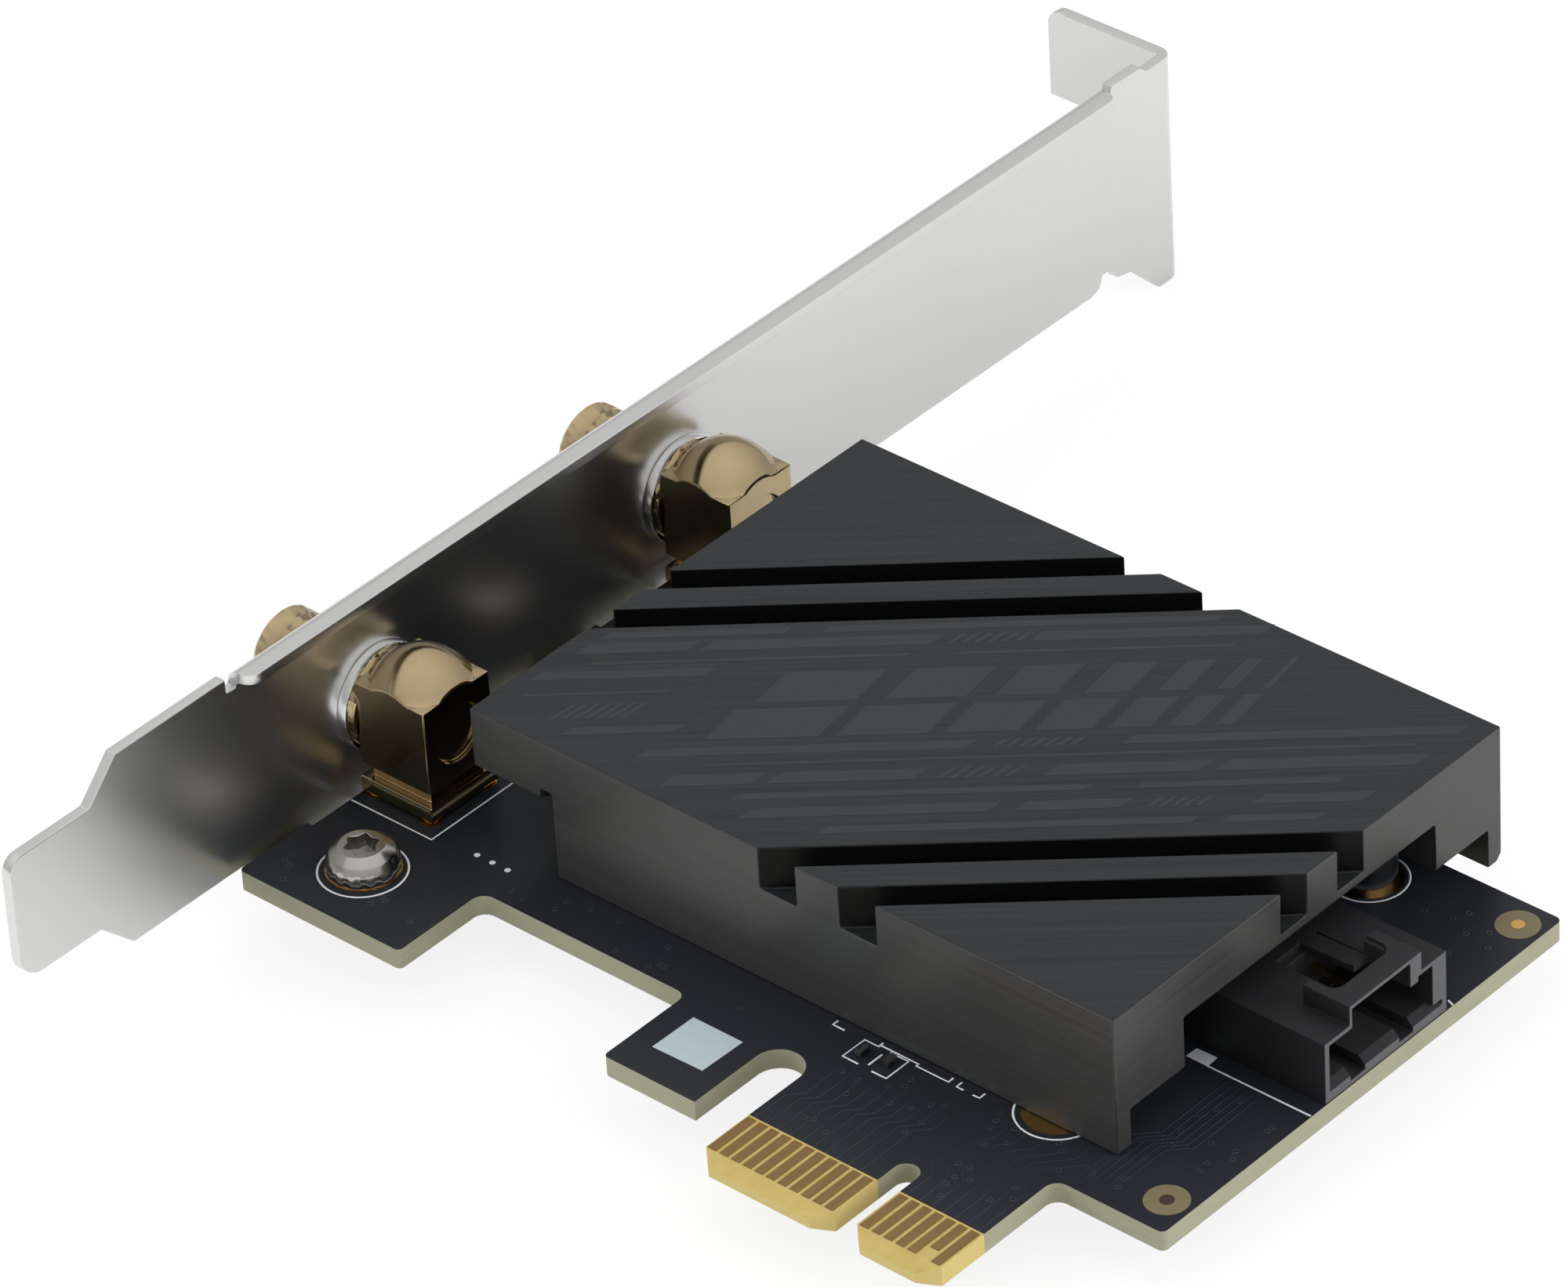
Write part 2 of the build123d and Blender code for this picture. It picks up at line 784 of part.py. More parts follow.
def header_housing():
    body = slab(head_x0, head_x1, head_y0, head_y1, top, top + head_h)
    z0 = top + head_h - 0.5
    body += slab(bridge_x0, head_x1, raise_y0, raise_y1, z0, top + head_raise)
    body -= header_cavity()
    body -= header_window()
    bevel = 0.55
    for y0, y1 in ribs:
        edge = [(head_x1 + 0.1, top + rib_z + 0.1), (head_x1 + 0.1, top + rib_z - bevel)]
        edge += [(head_x1, top + rib_z - bevel), (head_x1 - bevel, top + rib_z)]
        edge += [(head_x1 - bevel, top + rib_z + 0.1)]
        body -= front(edge, y0, y1)
    body += header_arm()
    low = top + cavity_z1 - 0.4
    body += slab(bridge_x0, head_x1, raise_y1 - 1.2, raise_y1 - 0.35, low, top + cavity_raise + 0.1)
    wall = head_y1 - head_wall
    body += slab(cavity_x0 - 0.3, head_x1, wall - 0.95, wall + 0.1, top + rib_z - 0.1, top + cavity_z1 + 0.1)
    half = pin_side / 2 + pin_fit
    for y in pin_ys:
        body -= slab(pin_back - 1, cavity_x0 + 1, y - half, y + half, pin_z - half, pin_z + half)
    return body


def header_pins():
    half = pin_side / 2
    pins = []
    for y in pin_ys:
        pin = slab(pin_back - half, pin_front, y - half, y + half, pin_z - half, pin_z + half)
        pin = chamfer(pin.faces().sort_by(Axis.X)[-1].edges(), 0.12)
        pin += slab(pin_back - half, pin_back + half, y - half, y + half, under - 0.8, pin_z)
        pins.append(pin)
    return gather(pins)


# Small parts on the board
def chip(x, y, size_x, size_y, height, cap):
    """Body with a pair of end caps along its longer side."""
    z0 = top + solder_film
    core = slab(
        x - size_x / 2 + 0.03,
        x + size_x / 2 - 0.03,
        y - size_y / 2 + 0.03,
        y + size_y / 2 - 0.03,
        z0 + 0.03,
        z0 + height - 0.03,
    )
    if size_x >= size_y:
        a = slab(x - size_x / 2, x - size_x / 2 + cap, y - size_y / 2, y + size_y / 2, z0, z0 + height)
        b = slab(x + size_x / 2 - cap, x + size_x / 2, y - size_y / 2, y + size_y / 2, z0, z0 + height)
    else:
        a = slab(x - size_x / 2, x + size_x / 2, y - size_y / 2, y - size_y / 2 + cap, z0, z0 + height)
        b = slab(x - size_x / 2, x + size_x / 2, y + size_y / 2 - cap, y + size_y / 2, z0, z0 + height)
    return core + a + b


def coupling_capacitors():
    spots = [(-10.3, 14.7), (-8.2, 15.0)]
    return gather([chip(x, y, *tall_chip) for x, y in spots])


def bypass_capacitors():
    x0 = mod_x0 - beside_gap - big_chip[0] / 2
    x1 = mod_x1 + beside_gap + big_chip[0] / 2
    y0 = mod_y0 - before_gap - big_chip[1] / 2
    spots = [(x1, mod_c[1] + dy) for dy in (-9.0, -5.5, 6.0, 9.5)]
    spots += [(x0, mod_c[1] + dy) for dy in (-6.5, -3.0)]
    spots += [(mod_c[0] + dx, y0) for dx in (-3.5, 0.0, 3.5)]
    return gather([chip(x, y, *big_chip) for x, y in spots])


def resistors():
    x0 = mod_x0 - beside_gap - small_chip[0] / 2
    y0 = mod_y0 - before_gap - small_chip[1] / 2
    spots = [(x0, mod_c[1] + dy) for dy in (1.5, 4.0, 6.5)]
    spots += [(mod_c[0] + dx, y0) for dx in (7.0, 10.0, 13.0)]
    return gather([chip(x, y, *small_chip) for x, y in spots])


def power_inductor():
    z0 = top + solder_film
    coil = slab(-6.5, -2.5, 42.0, 46.0, z0, z0 + 2.0)
    coil = chamfer(coil.edges().filter_by(Axis.Z), 0.5)
    return chamfer(coil.faces().sort_by(Axis.Z)[-1].edges(), 0.3)


def regulator_chip():
    z0 = top + 0.15
    x, y = (-5.0, 36.0)
    body = slab(x - 2.4, x + 2.4, y - 1.95, y + 1.95, z0, z0 + 1.35)
    body = chamfer(body.faces().sort_by(Axis.Z)[-1].edges(), 0.2)
    for i in range(4):
        px = x - 1.905 + 1.27 * i
        for s in (-1, 1):
            y0, y1 = sorted((y + s * 1.9, y + s * 2.6))
            body += slab(px - 0.2, px + 0.2, y0, y1, z0 + 0.5, z0 + 0.7)
            y0, y1 = sorted((y + s * 2.4, y + s * 2.6))
            body += slab(px - 0.2, px + 0.2, y0, y1, top + solder_film, z0 + 0.7)
            y0, y1 = sorted((y + s * 2.4, y + s * 3.1))
            body += slab(px - 0.2, px + 0.2, y0, y1, top + solder_film, top + 0.23)
    return body


def crystal_can():
    """Flat metal lid on a base, in front of the radio module."""
    z0 = top + solder_film
    x0 = mod_x0 + 0.6
    x1 = x0 + crystal_w
    y1 = mod_y0 - crystal_gap
    y0 = y1 - crystal_l
    base = slab(x0, x1, y0, y1, z0, z0 + 0.4)
    return base + slab(x0 + 0.2, x1 - 0.2, y0 + 0.2, y1 - 0.2, z0 + 0.4, z0 + 0.75)


# Solder
def solder_cone(x, y, wide, narrow, drop, lead):
    """Small fillet of solder round a lead under the board."""
    face = Pos(x, y, under) * RegularPolygon(wide, 8, major_radius=False)
    lean = math.degrees(math.atan((wide - narrow) / drop))
    cone = extrude(face, amount=drop, dir=(0, 0, -1), taper=lean)
    return cone - lead


def solder_joints():
    drops = []
    low = under - 2
    for y in conn_ys:
        for sx in (-1, 1):
            for sy in (-1, 1):
                lx = conn_x + sx * leg_pitch
                ly = y + sy * leg_pitch
                lead = many_sided(lx, ly, low, top, leg_r, 8)
                drops.append(solder_cone(lx, ly, 1.05, 0.7, 0.6, lead))
        lead = many_sided(conn_x, y, low, top, tail_r, 8)
        drops.append(solder_cone(conn_x, y, 0.85, 0.55, 0.5, lead))
    half = pin_side / 2 + pin_fit
    for y in pin_ys:
        lead = slab(pin_back - half, pin_back + half, y - half, y + half, low, top)
        drops.append(solder_cone(pin_back, y, 0.8, 0.5, 0.6, lead))
    return gather(drops)


# Write every node
os.makedirs("parts", exist_ok=True)
save(circuit_board(), "circuit_board")
save(edge_contacts(top, 6.5), "edge_contacts_top")
save(edge_contacts(under - plating, -11.5), "edge_contacts_bottom")
save(plated_pads(), "plated_pads")
save(bracket(), "bracket")
save(gather([bracket_screw(y) for y in screw_ys]), "bracket_screws")
save(heatsink(), "heatsink")
save(heatsink_standoffs(), "heatsink_standoffs")
save(heatsink_screws(), "heatsink_screws")
save(module_board(), "module_board")
save(module_shield(), "module_shield")
save(thermal_pad(), "thermal_pad")
for number, y in enumerate(conn_ys, start=1):
    save(connector_body(y), f"connector_{number}_body")
    save(connector_insulator(y), f"connector_{number}_insulator")
    save(connector_pin(y), f"connector_{number}_pin")
    save(connector_ring(y), f"connector_{number}_ring")
    save(connector_lock_washer(y), f"connector_{number}_lock_washer")
    save(connector_nut(y), f"connector_{number}_nut")
save(header_housing(), "header_housing")
save(header_pins(), "header_pins")
save(coupling_capacitors(), "coupling_capacitors")
save(bypass_capacitors(), "bypass_capacitors")
save(resistors(), "resistors")
save(power_inductor(), "power_inductor")
save(regulator_chip(), "regulator_chip")
save(crystal_can(), "crystal_can")
save(solder_joints(), "solder_joints")
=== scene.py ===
"""Looks of an expansion card: slab heatsink, steel bracket, two antenna ports and a side-entry header."""

import json
import logging
import math
import random
from dataclasses import dataclass, field
from enum import Enum
from typing import Any, Callable, Sequence, Union

import bpy
from mathutils import Matrix, Vector

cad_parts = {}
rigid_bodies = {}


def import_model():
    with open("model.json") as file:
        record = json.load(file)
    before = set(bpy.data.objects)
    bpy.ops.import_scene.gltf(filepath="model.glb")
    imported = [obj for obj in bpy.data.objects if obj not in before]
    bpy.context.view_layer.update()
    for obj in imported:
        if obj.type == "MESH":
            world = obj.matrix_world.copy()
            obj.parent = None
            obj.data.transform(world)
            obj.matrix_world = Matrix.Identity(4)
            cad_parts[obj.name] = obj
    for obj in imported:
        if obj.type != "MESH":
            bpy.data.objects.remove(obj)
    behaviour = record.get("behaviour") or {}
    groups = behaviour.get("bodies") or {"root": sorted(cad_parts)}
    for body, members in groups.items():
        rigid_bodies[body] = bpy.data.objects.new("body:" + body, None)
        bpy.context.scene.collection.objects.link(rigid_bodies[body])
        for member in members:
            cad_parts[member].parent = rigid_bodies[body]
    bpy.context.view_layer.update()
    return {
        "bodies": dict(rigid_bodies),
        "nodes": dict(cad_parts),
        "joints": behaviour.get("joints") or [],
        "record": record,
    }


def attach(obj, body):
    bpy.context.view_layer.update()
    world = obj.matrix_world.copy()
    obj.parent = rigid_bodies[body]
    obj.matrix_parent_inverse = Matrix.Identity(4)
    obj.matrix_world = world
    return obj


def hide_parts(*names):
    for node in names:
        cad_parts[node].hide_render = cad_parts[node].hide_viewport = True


MM = 0.001
FLAT = 0.8  # a face whose normal has more than this of Z counts as level
GROOVE_TURN = 40.2  # degrees between X and the heatsink's grooves
PORT_X = -53.07
PORT_YS = (19.06, 50.05)
log = logging.getLogger("card")

Point2 = tuple[float, float]
Point3 = tuple[float, float, float]
Path = tuple[Point2, ...]
Colour = tuple[float, float, float]
Test = Callable[[Vector], bool]


class Slot(Enum):
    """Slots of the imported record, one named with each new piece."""

    MASK = "board_mask"
    GOLD = "gold_plating"
    BRACKET = "bracket_steel"
    SCREW = "screw_steel"
    ANODISED = "dark_anodised"
    BRASS = "connector_brass"
    NICKEL = "ring_nickel"
    HOUSING = "black_housing"


class Wire:
    """One output of a shader node, with arithmetic that adds Math nodes."""

    def __init__(self, graph: "Graph", socket: Any) -> None:
        """Wrap a socket.

        Args:
            graph: the node tree that the socket is in.
            socket: the output socket.
        """
        self.graph = graph
        self.socket = socket

    def maths(self, operation: str, *others: Union["Wire", float]) -> "Wire":
        """Add one Math node.

        Args:
            operation: the node's operation.
            others: the inputs after this one.

        Returns:
            The node's output.
        """
        values = dict(enumerate((self, *others)))
        return self.graph.node("ShaderNodeMath", {"operation": operation}, values)

    def __add__(self, other: Union["Wire", float]) -> "Wire":
        """Sum."""
        return self.maths("ADD", other)

    __radd__ = __add__

    def __sub__(self, other: Union["Wire", float]) -> "Wire":
        """Difference."""
        return self.maths("SUBTRACT", other)

    def __rsub__(self, other: float) -> "Wire":
        """Difference from a number."""
        return self.graph.node("ShaderNodeMath", {"operation": "SUBTRACT"}, {0: other, 1: self})

    def __mul__(self, other: Union["Wire", float]) -> "Wire":
        """Product."""
        return self.maths("MULTIPLY", other)

    __rmul__ = __mul__

    def __gt__(self, other: Union["Wire", float]) -> "Wire":
        """One where this is greater, else zero."""
        return self.maths("GREATER_THAN", other)

    def __lt__(self, other: Union["Wire", float]) -> "Wire":
        """One where this is less, else zero."""
        return self.maths("LESS_THAN", other)

    def __abs__(self) -> "Wire":
        """Size without sign."""
        return self.maths("ABSOLUTE")


class Graph:
    """A node tree, of a finish or of the surround."""

    def __init__(self, tree: bpy.types.NodeTree) -> None:
        """Keep the tree."""
        self.tree = tree

    def node(self, kind: str, settings: dict[str, Any], inputs: dict[Any, Any], out: Any = 0) -> Wire:
        """Add any node.

        Args:
            kind: the node's type.
            settings: its properties, set before its sockets.
            inputs: values or wires by socket name or number.
            out: the output to return, by name or number.

        Returns:
            That output.
        """
        node = self.tree.nodes.new(kind)
        for key, value in settings.items():
            setattr(node, key, value)
        for key, value in inputs.items():
            if isinstance(value, Wire):
                self.tree.links.new(value.socket, node.inputs[key])
            else:
                node.inputs[key].default_value = value
        return Wire(self, node.outputs[out])

    def axes(self, vector: Wire) -> tuple[Wire, Wire, Wire]:
        """The three parts of a vector.

        Args:
            vector: the vector.

        Returns:
            X, Y and Z.
        """
        first = self.node("ShaderNodeSeparateXYZ", {}, {0: vector})
        outputs = first.socket.node.outputs
        return first, Wire(self, outputs[1]), Wire(self, outputs[2])

    def ramp(self, value: Wire, span: Point2, result: Point2 = (0.0, 1.0)) -> Wire:
        """Stretch one range to another and clamp it.

        Args:
            value: the wire.
            span: the values that become the ends of the result.
            result: the range to stretch to.

        Returns:
            The stretched value.
        """
        inputs = {"Value": value, "From Min": span[0], "From Max": span[1],
                  "To Min": result[0], "To Max": result[1]}
        return self.node("ShaderNodeMapRange", {"clamp": True}, inputs)

    def white_to_camera(self, shader: Wire, white: Wire, level: float = 1.0) -> Wire:
        """Mix in white where the camera itself sees the surface.

        Args:
            shader: what light and mirrors meet.
            white: the white shader.
            level: share of the white.

        Returns:
            The mixed shader.
        """
        share = self.node("ShaderNodeLightPath", {}, {}, "Is Camera Ray") * level
        return self.node("ShaderNodeMixShader", {}, {0: share, 1: shader, 2: white})

    def finish(self, output: str, shader: Wire) -> None:
        """Feed the tree's output node with a shader."""
        self.tree.links.new(shader.socket, self.tree.nodes[output].inputs["Surface"])


class Sheet(Graph):
    """Node tree of one finish, with a Principled shader at its end."""

    def __init__(self, name: str) -> None:
        """Start a material.

        Args:
            name: the material's name.
        """
        self.material = bpy.data.materials.new(name)
        self.material.use_nodes = True
        super().__init__(self.material.node_tree)
        self.shader = self.tree.nodes["Principled BSDF"]

    def place(self) -> Wire:
        """Object coordinates."""
        return self.node("ShaderNodeTexCoord", {}, {}, "Object")

    def facing(self) -> tuple[Wire, Wire, Wire]:
        """The three parts of the surface normal."""
        return self.axes(self.node("ShaderNodeNewGeometry", {}, {}, "Normal"))

    def stretched(self, turn: float, scale: Point3) -> Wire:
        """Object coordinates turned about Z and scaled.

        Args:
            turn: angle in degrees.
            scale: scale along each turned axis, per metre.

        Returns:
            The vector.
        """
        point = {"vector_type": "POINT"}
        turning = {"Vector": self.place(), "Rotation": (0.0, 0.0, -math.radians(turn))}
        turned = self.node("ShaderNodeMapping", point, turning)
        return self.node("ShaderNodeMapping", point, {"Vector": turned, "Scale": scale})

    def noise(self, vector: Wire, scale: float, detail: float = 3.0, rough: float = 0.6) -> Wire:
        """Noise between 0 and 1.

        Args:
            vector: where it is read.
            scale: its fineness.
            detail: its octaves.
            rough: the weight of the fine octaves.

        Returns:
            The noise.
        """
        inputs = {"Vector": vector, "Scale": scale, "Detail": detail, "Roughness": rough}
        return self.node("ShaderNodeTexNoise", {}, inputs, "Fac")

    def blend(self, factor: Union[Wire, float], low: Any, high: Any) -> Wire:
        """Mix two colours.

        Args:
            factor: share of the second.
            low: first colour, or a wire.
            high: second colour, or a wire.

        Returns:
            The mixed colour.
        """
        colours = [value if isinstance(value, Wire) else (*value, 1.0) for value in (low, high)]
        inputs = {0: factor, 6: colours[0], 7: colours[1]}
        return self.node("ShaderNodeMix", {"data_type": "RGBA"}, inputs, 2)

    def bump(self, height: Wire, distance: float, strength: float = 1.0) -> None:
        """Feed the shader's normal from a height.

        Args:
            height: the height, 0 to 1.
            distance: its depth in metres.
            strength: share of the effect.
        """
        inputs = {"Height": height, "Distance": distance, "Strength": strength}
        self.link("Normal", self.node("ShaderNodeBump", {}, inputs))

    def link(self, name: str, wire: Wire) -> None:
        """Feed one socket of the shader."""
        self.tree.links.new(wire.socket, self.shader.inputs[name])

    def set(self, **values: float) -> None:
        """Set numbers on the shader, with underscores for spaces."""
        for key, value in values.items():
            self.shader.inputs[key.replace("_", " ")].default_value = value


@dataclass(frozen=True)
class SolderMask:
    """Near-black glossy mask on a glass laminate, bare and amber at the fingers."""

    mask: Colour = (0.0140, 0.0155, 0.0195)
    mask_high: Colour = (0.0185, 0.0200, 0.0245)
    laminate: Colour = (0.31, 0.305, 0.225)
    core: Colour = (0.23, 0.23, 0.155)
    amber: Colour = (0.37, 0.26, 0.075)
    amber_edge: Colour = (0.475, 0.377, 0.142)
    mask_start: float = 5.38 * MM
    tongue_start: float = -13.0 * MM
    plies: Point3 = (300.0, 300.0, 9000.0)
    cut_rough: float = 0.62
    mask_rough: float = 0.32
    depth: float = 0.006
    specular: float = 0.16

    def build(self) -> bpy.types.Material:
        """Make the material."""
        sheet = Sheet("solder_mask")
        x, y, _ = sheet.axes(sheet.place())
        _, _, up = sheet.facing()
        flat = abs(up) > FLAT
        on_tongue = (y < self.mask_start) * (x > self.tongue_start)
        grain = sheet.noise(sheet.place(), 900.0, 4.0)
        cloud = sheet.noise(sheet.place(), 60.0, 2.0)
        weave = sheet.noise(sheet.stretched(0.0, self.plies), 1.0, 2.0)
        mask = sheet.blend(cloud, self.mask, self.mask_high)
        side = sheet.blend(weave, self.core, self.laminate)
        amber = sheet.blend(grain, self.amber, self.amber_edge)
        tongue = sheet.blend(flat, self.amber_edge, amber)
        face = sheet.blend(flat, side, mask)
        sheet.link("Base Color", sheet.blend(on_tongue, face, tongue))
        masked = flat * (1.0 - on_tongue)
        rough = self.cut_rough + (self.mask_rough - self.cut_rough) * masked
        sheet.link("Roughness", rough + 0.10 * (cloud - 0.5))
        sheet.bump(grain, self.depth * MM, 0.5)
        sheet.set(Specular_IOR_Level=self.specular)
        return sheet.material


@dataclass(frozen=True)
class BrushedDark:
    """Dark anodised aluminium with a long fine grain, its upright faces painted lighter than its top as
    painted light and its groove walls painted near-black as painted shade.
    """

    low: Colour = (0.0125, 0.0134, 0.0144)
    high: Colour = (0.0230, 0.0243, 0.0262)
    grain_turn: float = GROOVE_TURN
    # painted light: the upright faces get a lighter colour than the top, for the light that falls on them
    lit_side_low: Colour = (0.043, 0.043, 0.0425)
    lit_side_high: Colour = (0.056, 0.056, 0.0555)
    # painted shade: near-black colour for the groove walls, where shade falls
    painted_groove_shade: Colour = (0.005, 0.005, 0.0055)
    metallic: float = 0.35
    specular: float = 0.34
    side_rough: float = 0.34
    rough: float = 0.42
    slant: float = 0.3
    top_grain: Point3 = (45.0, 3600.0, 3600.0)
    side_grain: Point3 = (30.0, 30.0, 5200.0)
    wide_grain: Point3 = (12.0, 420.0, 420.0)
    contrast: Point2 = (0.36, 0.64)
    depth: float = 0.007

    def build(self) -> bpy.types.Material:
        """Make the material."""
        sheet = Sheet("brushed_dark")
        across, along, up = sheet.facing()
        flat = abs(up) > FLAT
        slanted = (abs(across) > self.slant) * (abs(along) > self.slant)
        long_top = sheet.noise(sheet.stretched(self.grain_turn, self.top_grain), 1.0, 5.0, 0.7)
        long_side = sheet.noise(sheet.stretched(0.0, self.side_grain), 1.0, 5.0, 0.7)
        wide = sheet.noise(sheet.stretched(self.grain_turn, self.wide_grain), 1.0, 3.0)
        grain = flat * long_top + (1.0 - flat) * long_side
        tone = sheet.ramp(0.75 * grain + 0.25 * wide, self.contrast)
        top = sheet.blend(tone, self.low, self.high)
        # lit copy of the finish for the upright faces: painted light
        side = sheet.blend(tone, self.lit_side_low, self.lit_side_high)
        # painted shade on the slanted groove walls
        wall = sheet.blend(slanted, side, self.painted_groove_shade)
        sheet.link("Base Color", sheet.blend(flat, wall, top))
        rough = self.side_rough + (self.rough - self.side_rough) * flat
        sheet.link("Roughness", rough + 0.16 * (grain - 0.5))
        sheet.bump(grain, self.depth * MM, 0.5)
        sheet.set(Metallic=self.metallic, Specular_IOR_Level=self.specular)
        return sheet.material


@dataclass(frozen=True)
class SatinSteel:
    """Plated sheet with a very fine grain and a soft reflection."""

    name: str = "satin_steel"
    low: Colour = (0.60, 0.60, 0.595)
    high: Colour = (0.66, 0.66, 0.655)
    rough: float = 0.30
    grain: float = 7000.0
    depth: float = 0.0012

    def build(self) -> bpy.types.Material:
        """Make the material."""
        sheet = Sheet(self.name)
        fine = sheet.noise(sheet.place(), self.grain, 4.0)
        cloud = sheet.noise(sheet.place(), 45.0, 3.0)
        sheet.link("Base Color", sheet.blend(cloud, self.low, self.high))
        sheet.link("Roughness", self.rough + 0.08 * (fine - 0.5) + 0.03 * (cloud - 0.5))
        sheet.bump(fine, self.depth * MM, 0.6)
        sheet.set(Metallic=1.0)
        return sheet.material


@dataclass(frozen=True)
class Plated:
    """Polished plating over turned or cast metal."""

    name: str
    low: Colour
    high: Colour
    rough: float = 0.14
    wave: float = 260.0
    depth: float = 0.010

    def build(self) -> bpy.types.Material:
        """Make the material."""
        sheet = Sheet(self.name)
        cloud = sheet.noise(sheet.place(), self.wave, 2.0)
        fine = sheet.noise(sheet.place(), 2400.0, 3.0)
        sheet.link("Base Color", sheet.blend(cloud, self.low, self.high))
        sheet.link("Roughness", self.rough + 0.08 * (cloud - 0.4) + 0.06 * (fine - 0.5))
        sheet.bump(0.7 * cloud + 0.3 * fine, self.depth * MM, 0.7)
        sheet.set(Metallic=1.0)
        return sheet.material


@dataclass(frozen=True)
class Finger:
    """Thin gold over copper on the finger edge, browned by the light."""

    low: Colour = (0.17, 0.10, 0.032)
    high: Colour = (0.27, 0.165, 0.058)
    streaks: Point3 = (5000.0, 260.0, 5000.0)
    rough: float = 0.44
    depth: float = 0.006
    metallic: float = 0.55

    def build(self) -> bpy.types.Material:
        """Make the material."""
        sheet = Sheet("finger_gold")
        streak = sheet.noise(sheet.stretched(0.0, self.streaks), 1.0, 3.0)
        fine = sheet.noise(sheet.place(), 2600.0, 3.0)
        sheet.link("Base Color", sheet.blend(streak, self.low, self.high))
        sheet.link("Roughness", self.rough + 0.12 * (fine - 0.5))
        sheet.bump(fine, self.depth * MM, 0.6)
        sheet.set(Metallic=self.metallic)
        return sheet.material


@dataclass(frozen=True)
class Moulded:
    """Plastic, laminate, rubber or ink with a fine grain and a slow change of tone."""

    name: str
    low: Colour
    high: Colour
    rough: float = 0.5
    grain: float = 1200.0
    depth: float = 0.012
    metallic: float = 0.0
    specular: float = 0.5

    def build(self) -> bpy.types.Material:
        """Make the material."""
        sheet = Sheet(self.name)
        fine = sheet.noise(sheet.place(), self.grain, 4.0)
        cloud = sheet.noise(sheet.place(), 80.0, 2.0)
        sheet.link("Base Color", sheet.blend(0.5 * fine + 0.5 * cloud, self.low, self.high))
        sheet.link("Roughness", self.rough + 0.12 * (fine - 0.5))
        sheet.bump(fine, self.depth * MM, 0.6)
        sheet.set(Metallic=self.metallic, Specular_IOR_Level=self.specular)
        return sheet.material


@dataclass(frozen=True)
class Housing:
    """Black moulding with a lighter tone painted on its mouth, towards +X, as a painted highlight."""

    low: Colour = (0.011, 0.011, 0.012)
    high: Colour = (0.017, 0.017, 0.0185)
    # painted highlight: lighter colour for the faces of the mouth that face +X
    mouth_highlight: Colour = (0.072, 0.072, 0.075)
    mouth_start: float = 16.6 * MM
    mouth_facing: float = 0.9
    rough: float = 0.5
    depth: float = 0.006
    specular: float = 0.22

    def build(self) -> bpy.types.Material:
        """Make the material."""
        sheet = Sheet("black_housing")
        across, _, _ = sheet.facing()
        x, _, _ = sheet.axes(sheet.place())
        # mask of the painted highlight on the mouth
        mouth_highlight = (across > self.mouth_facing) * (x > self.mouth_start)
        fine = sheet.noise(sheet.place(), 1600.0, 4.0)
        body = sheet.blend(fine, self.low, self.high)
        sheet.link("Base Color", sheet.blend(mouth_highlight, body, self.mouth_highlight))
        sheet.link("Roughness", self.rough + 0.12 * (fine - 0.5))
        sheet.bump(fine, self.depth * MM, 0.6)
        sheet.set(Specular_IOR_Level=self.specular)
        return sheet.material


@dataclass(frozen=True)
class Fired:
    """Fired ceramic of the chip capacitors, with a lively grain."""

    low: Colour = (0.26, 0.22, 0.19)
    high: Colour = (0.325, 0.275, 0.2375)
    rough: float = 0.42
    depth: float = 0.01

    def build(self) -> bpy.types.Material:
        """Make the material."""
        sheet = Sheet("ceramic")
        fine = sheet.noise(sheet.place(), 1800.0, 3.0)
        sheet.link("Base Color", sheet.blend(fine, self.low, self.high))
        sheet.link("Roughness", self.rough + 0.2 * (fine - 0.5))
        sheet.bump(fine, self.depth * MM, 0.5)
        return sheet.material


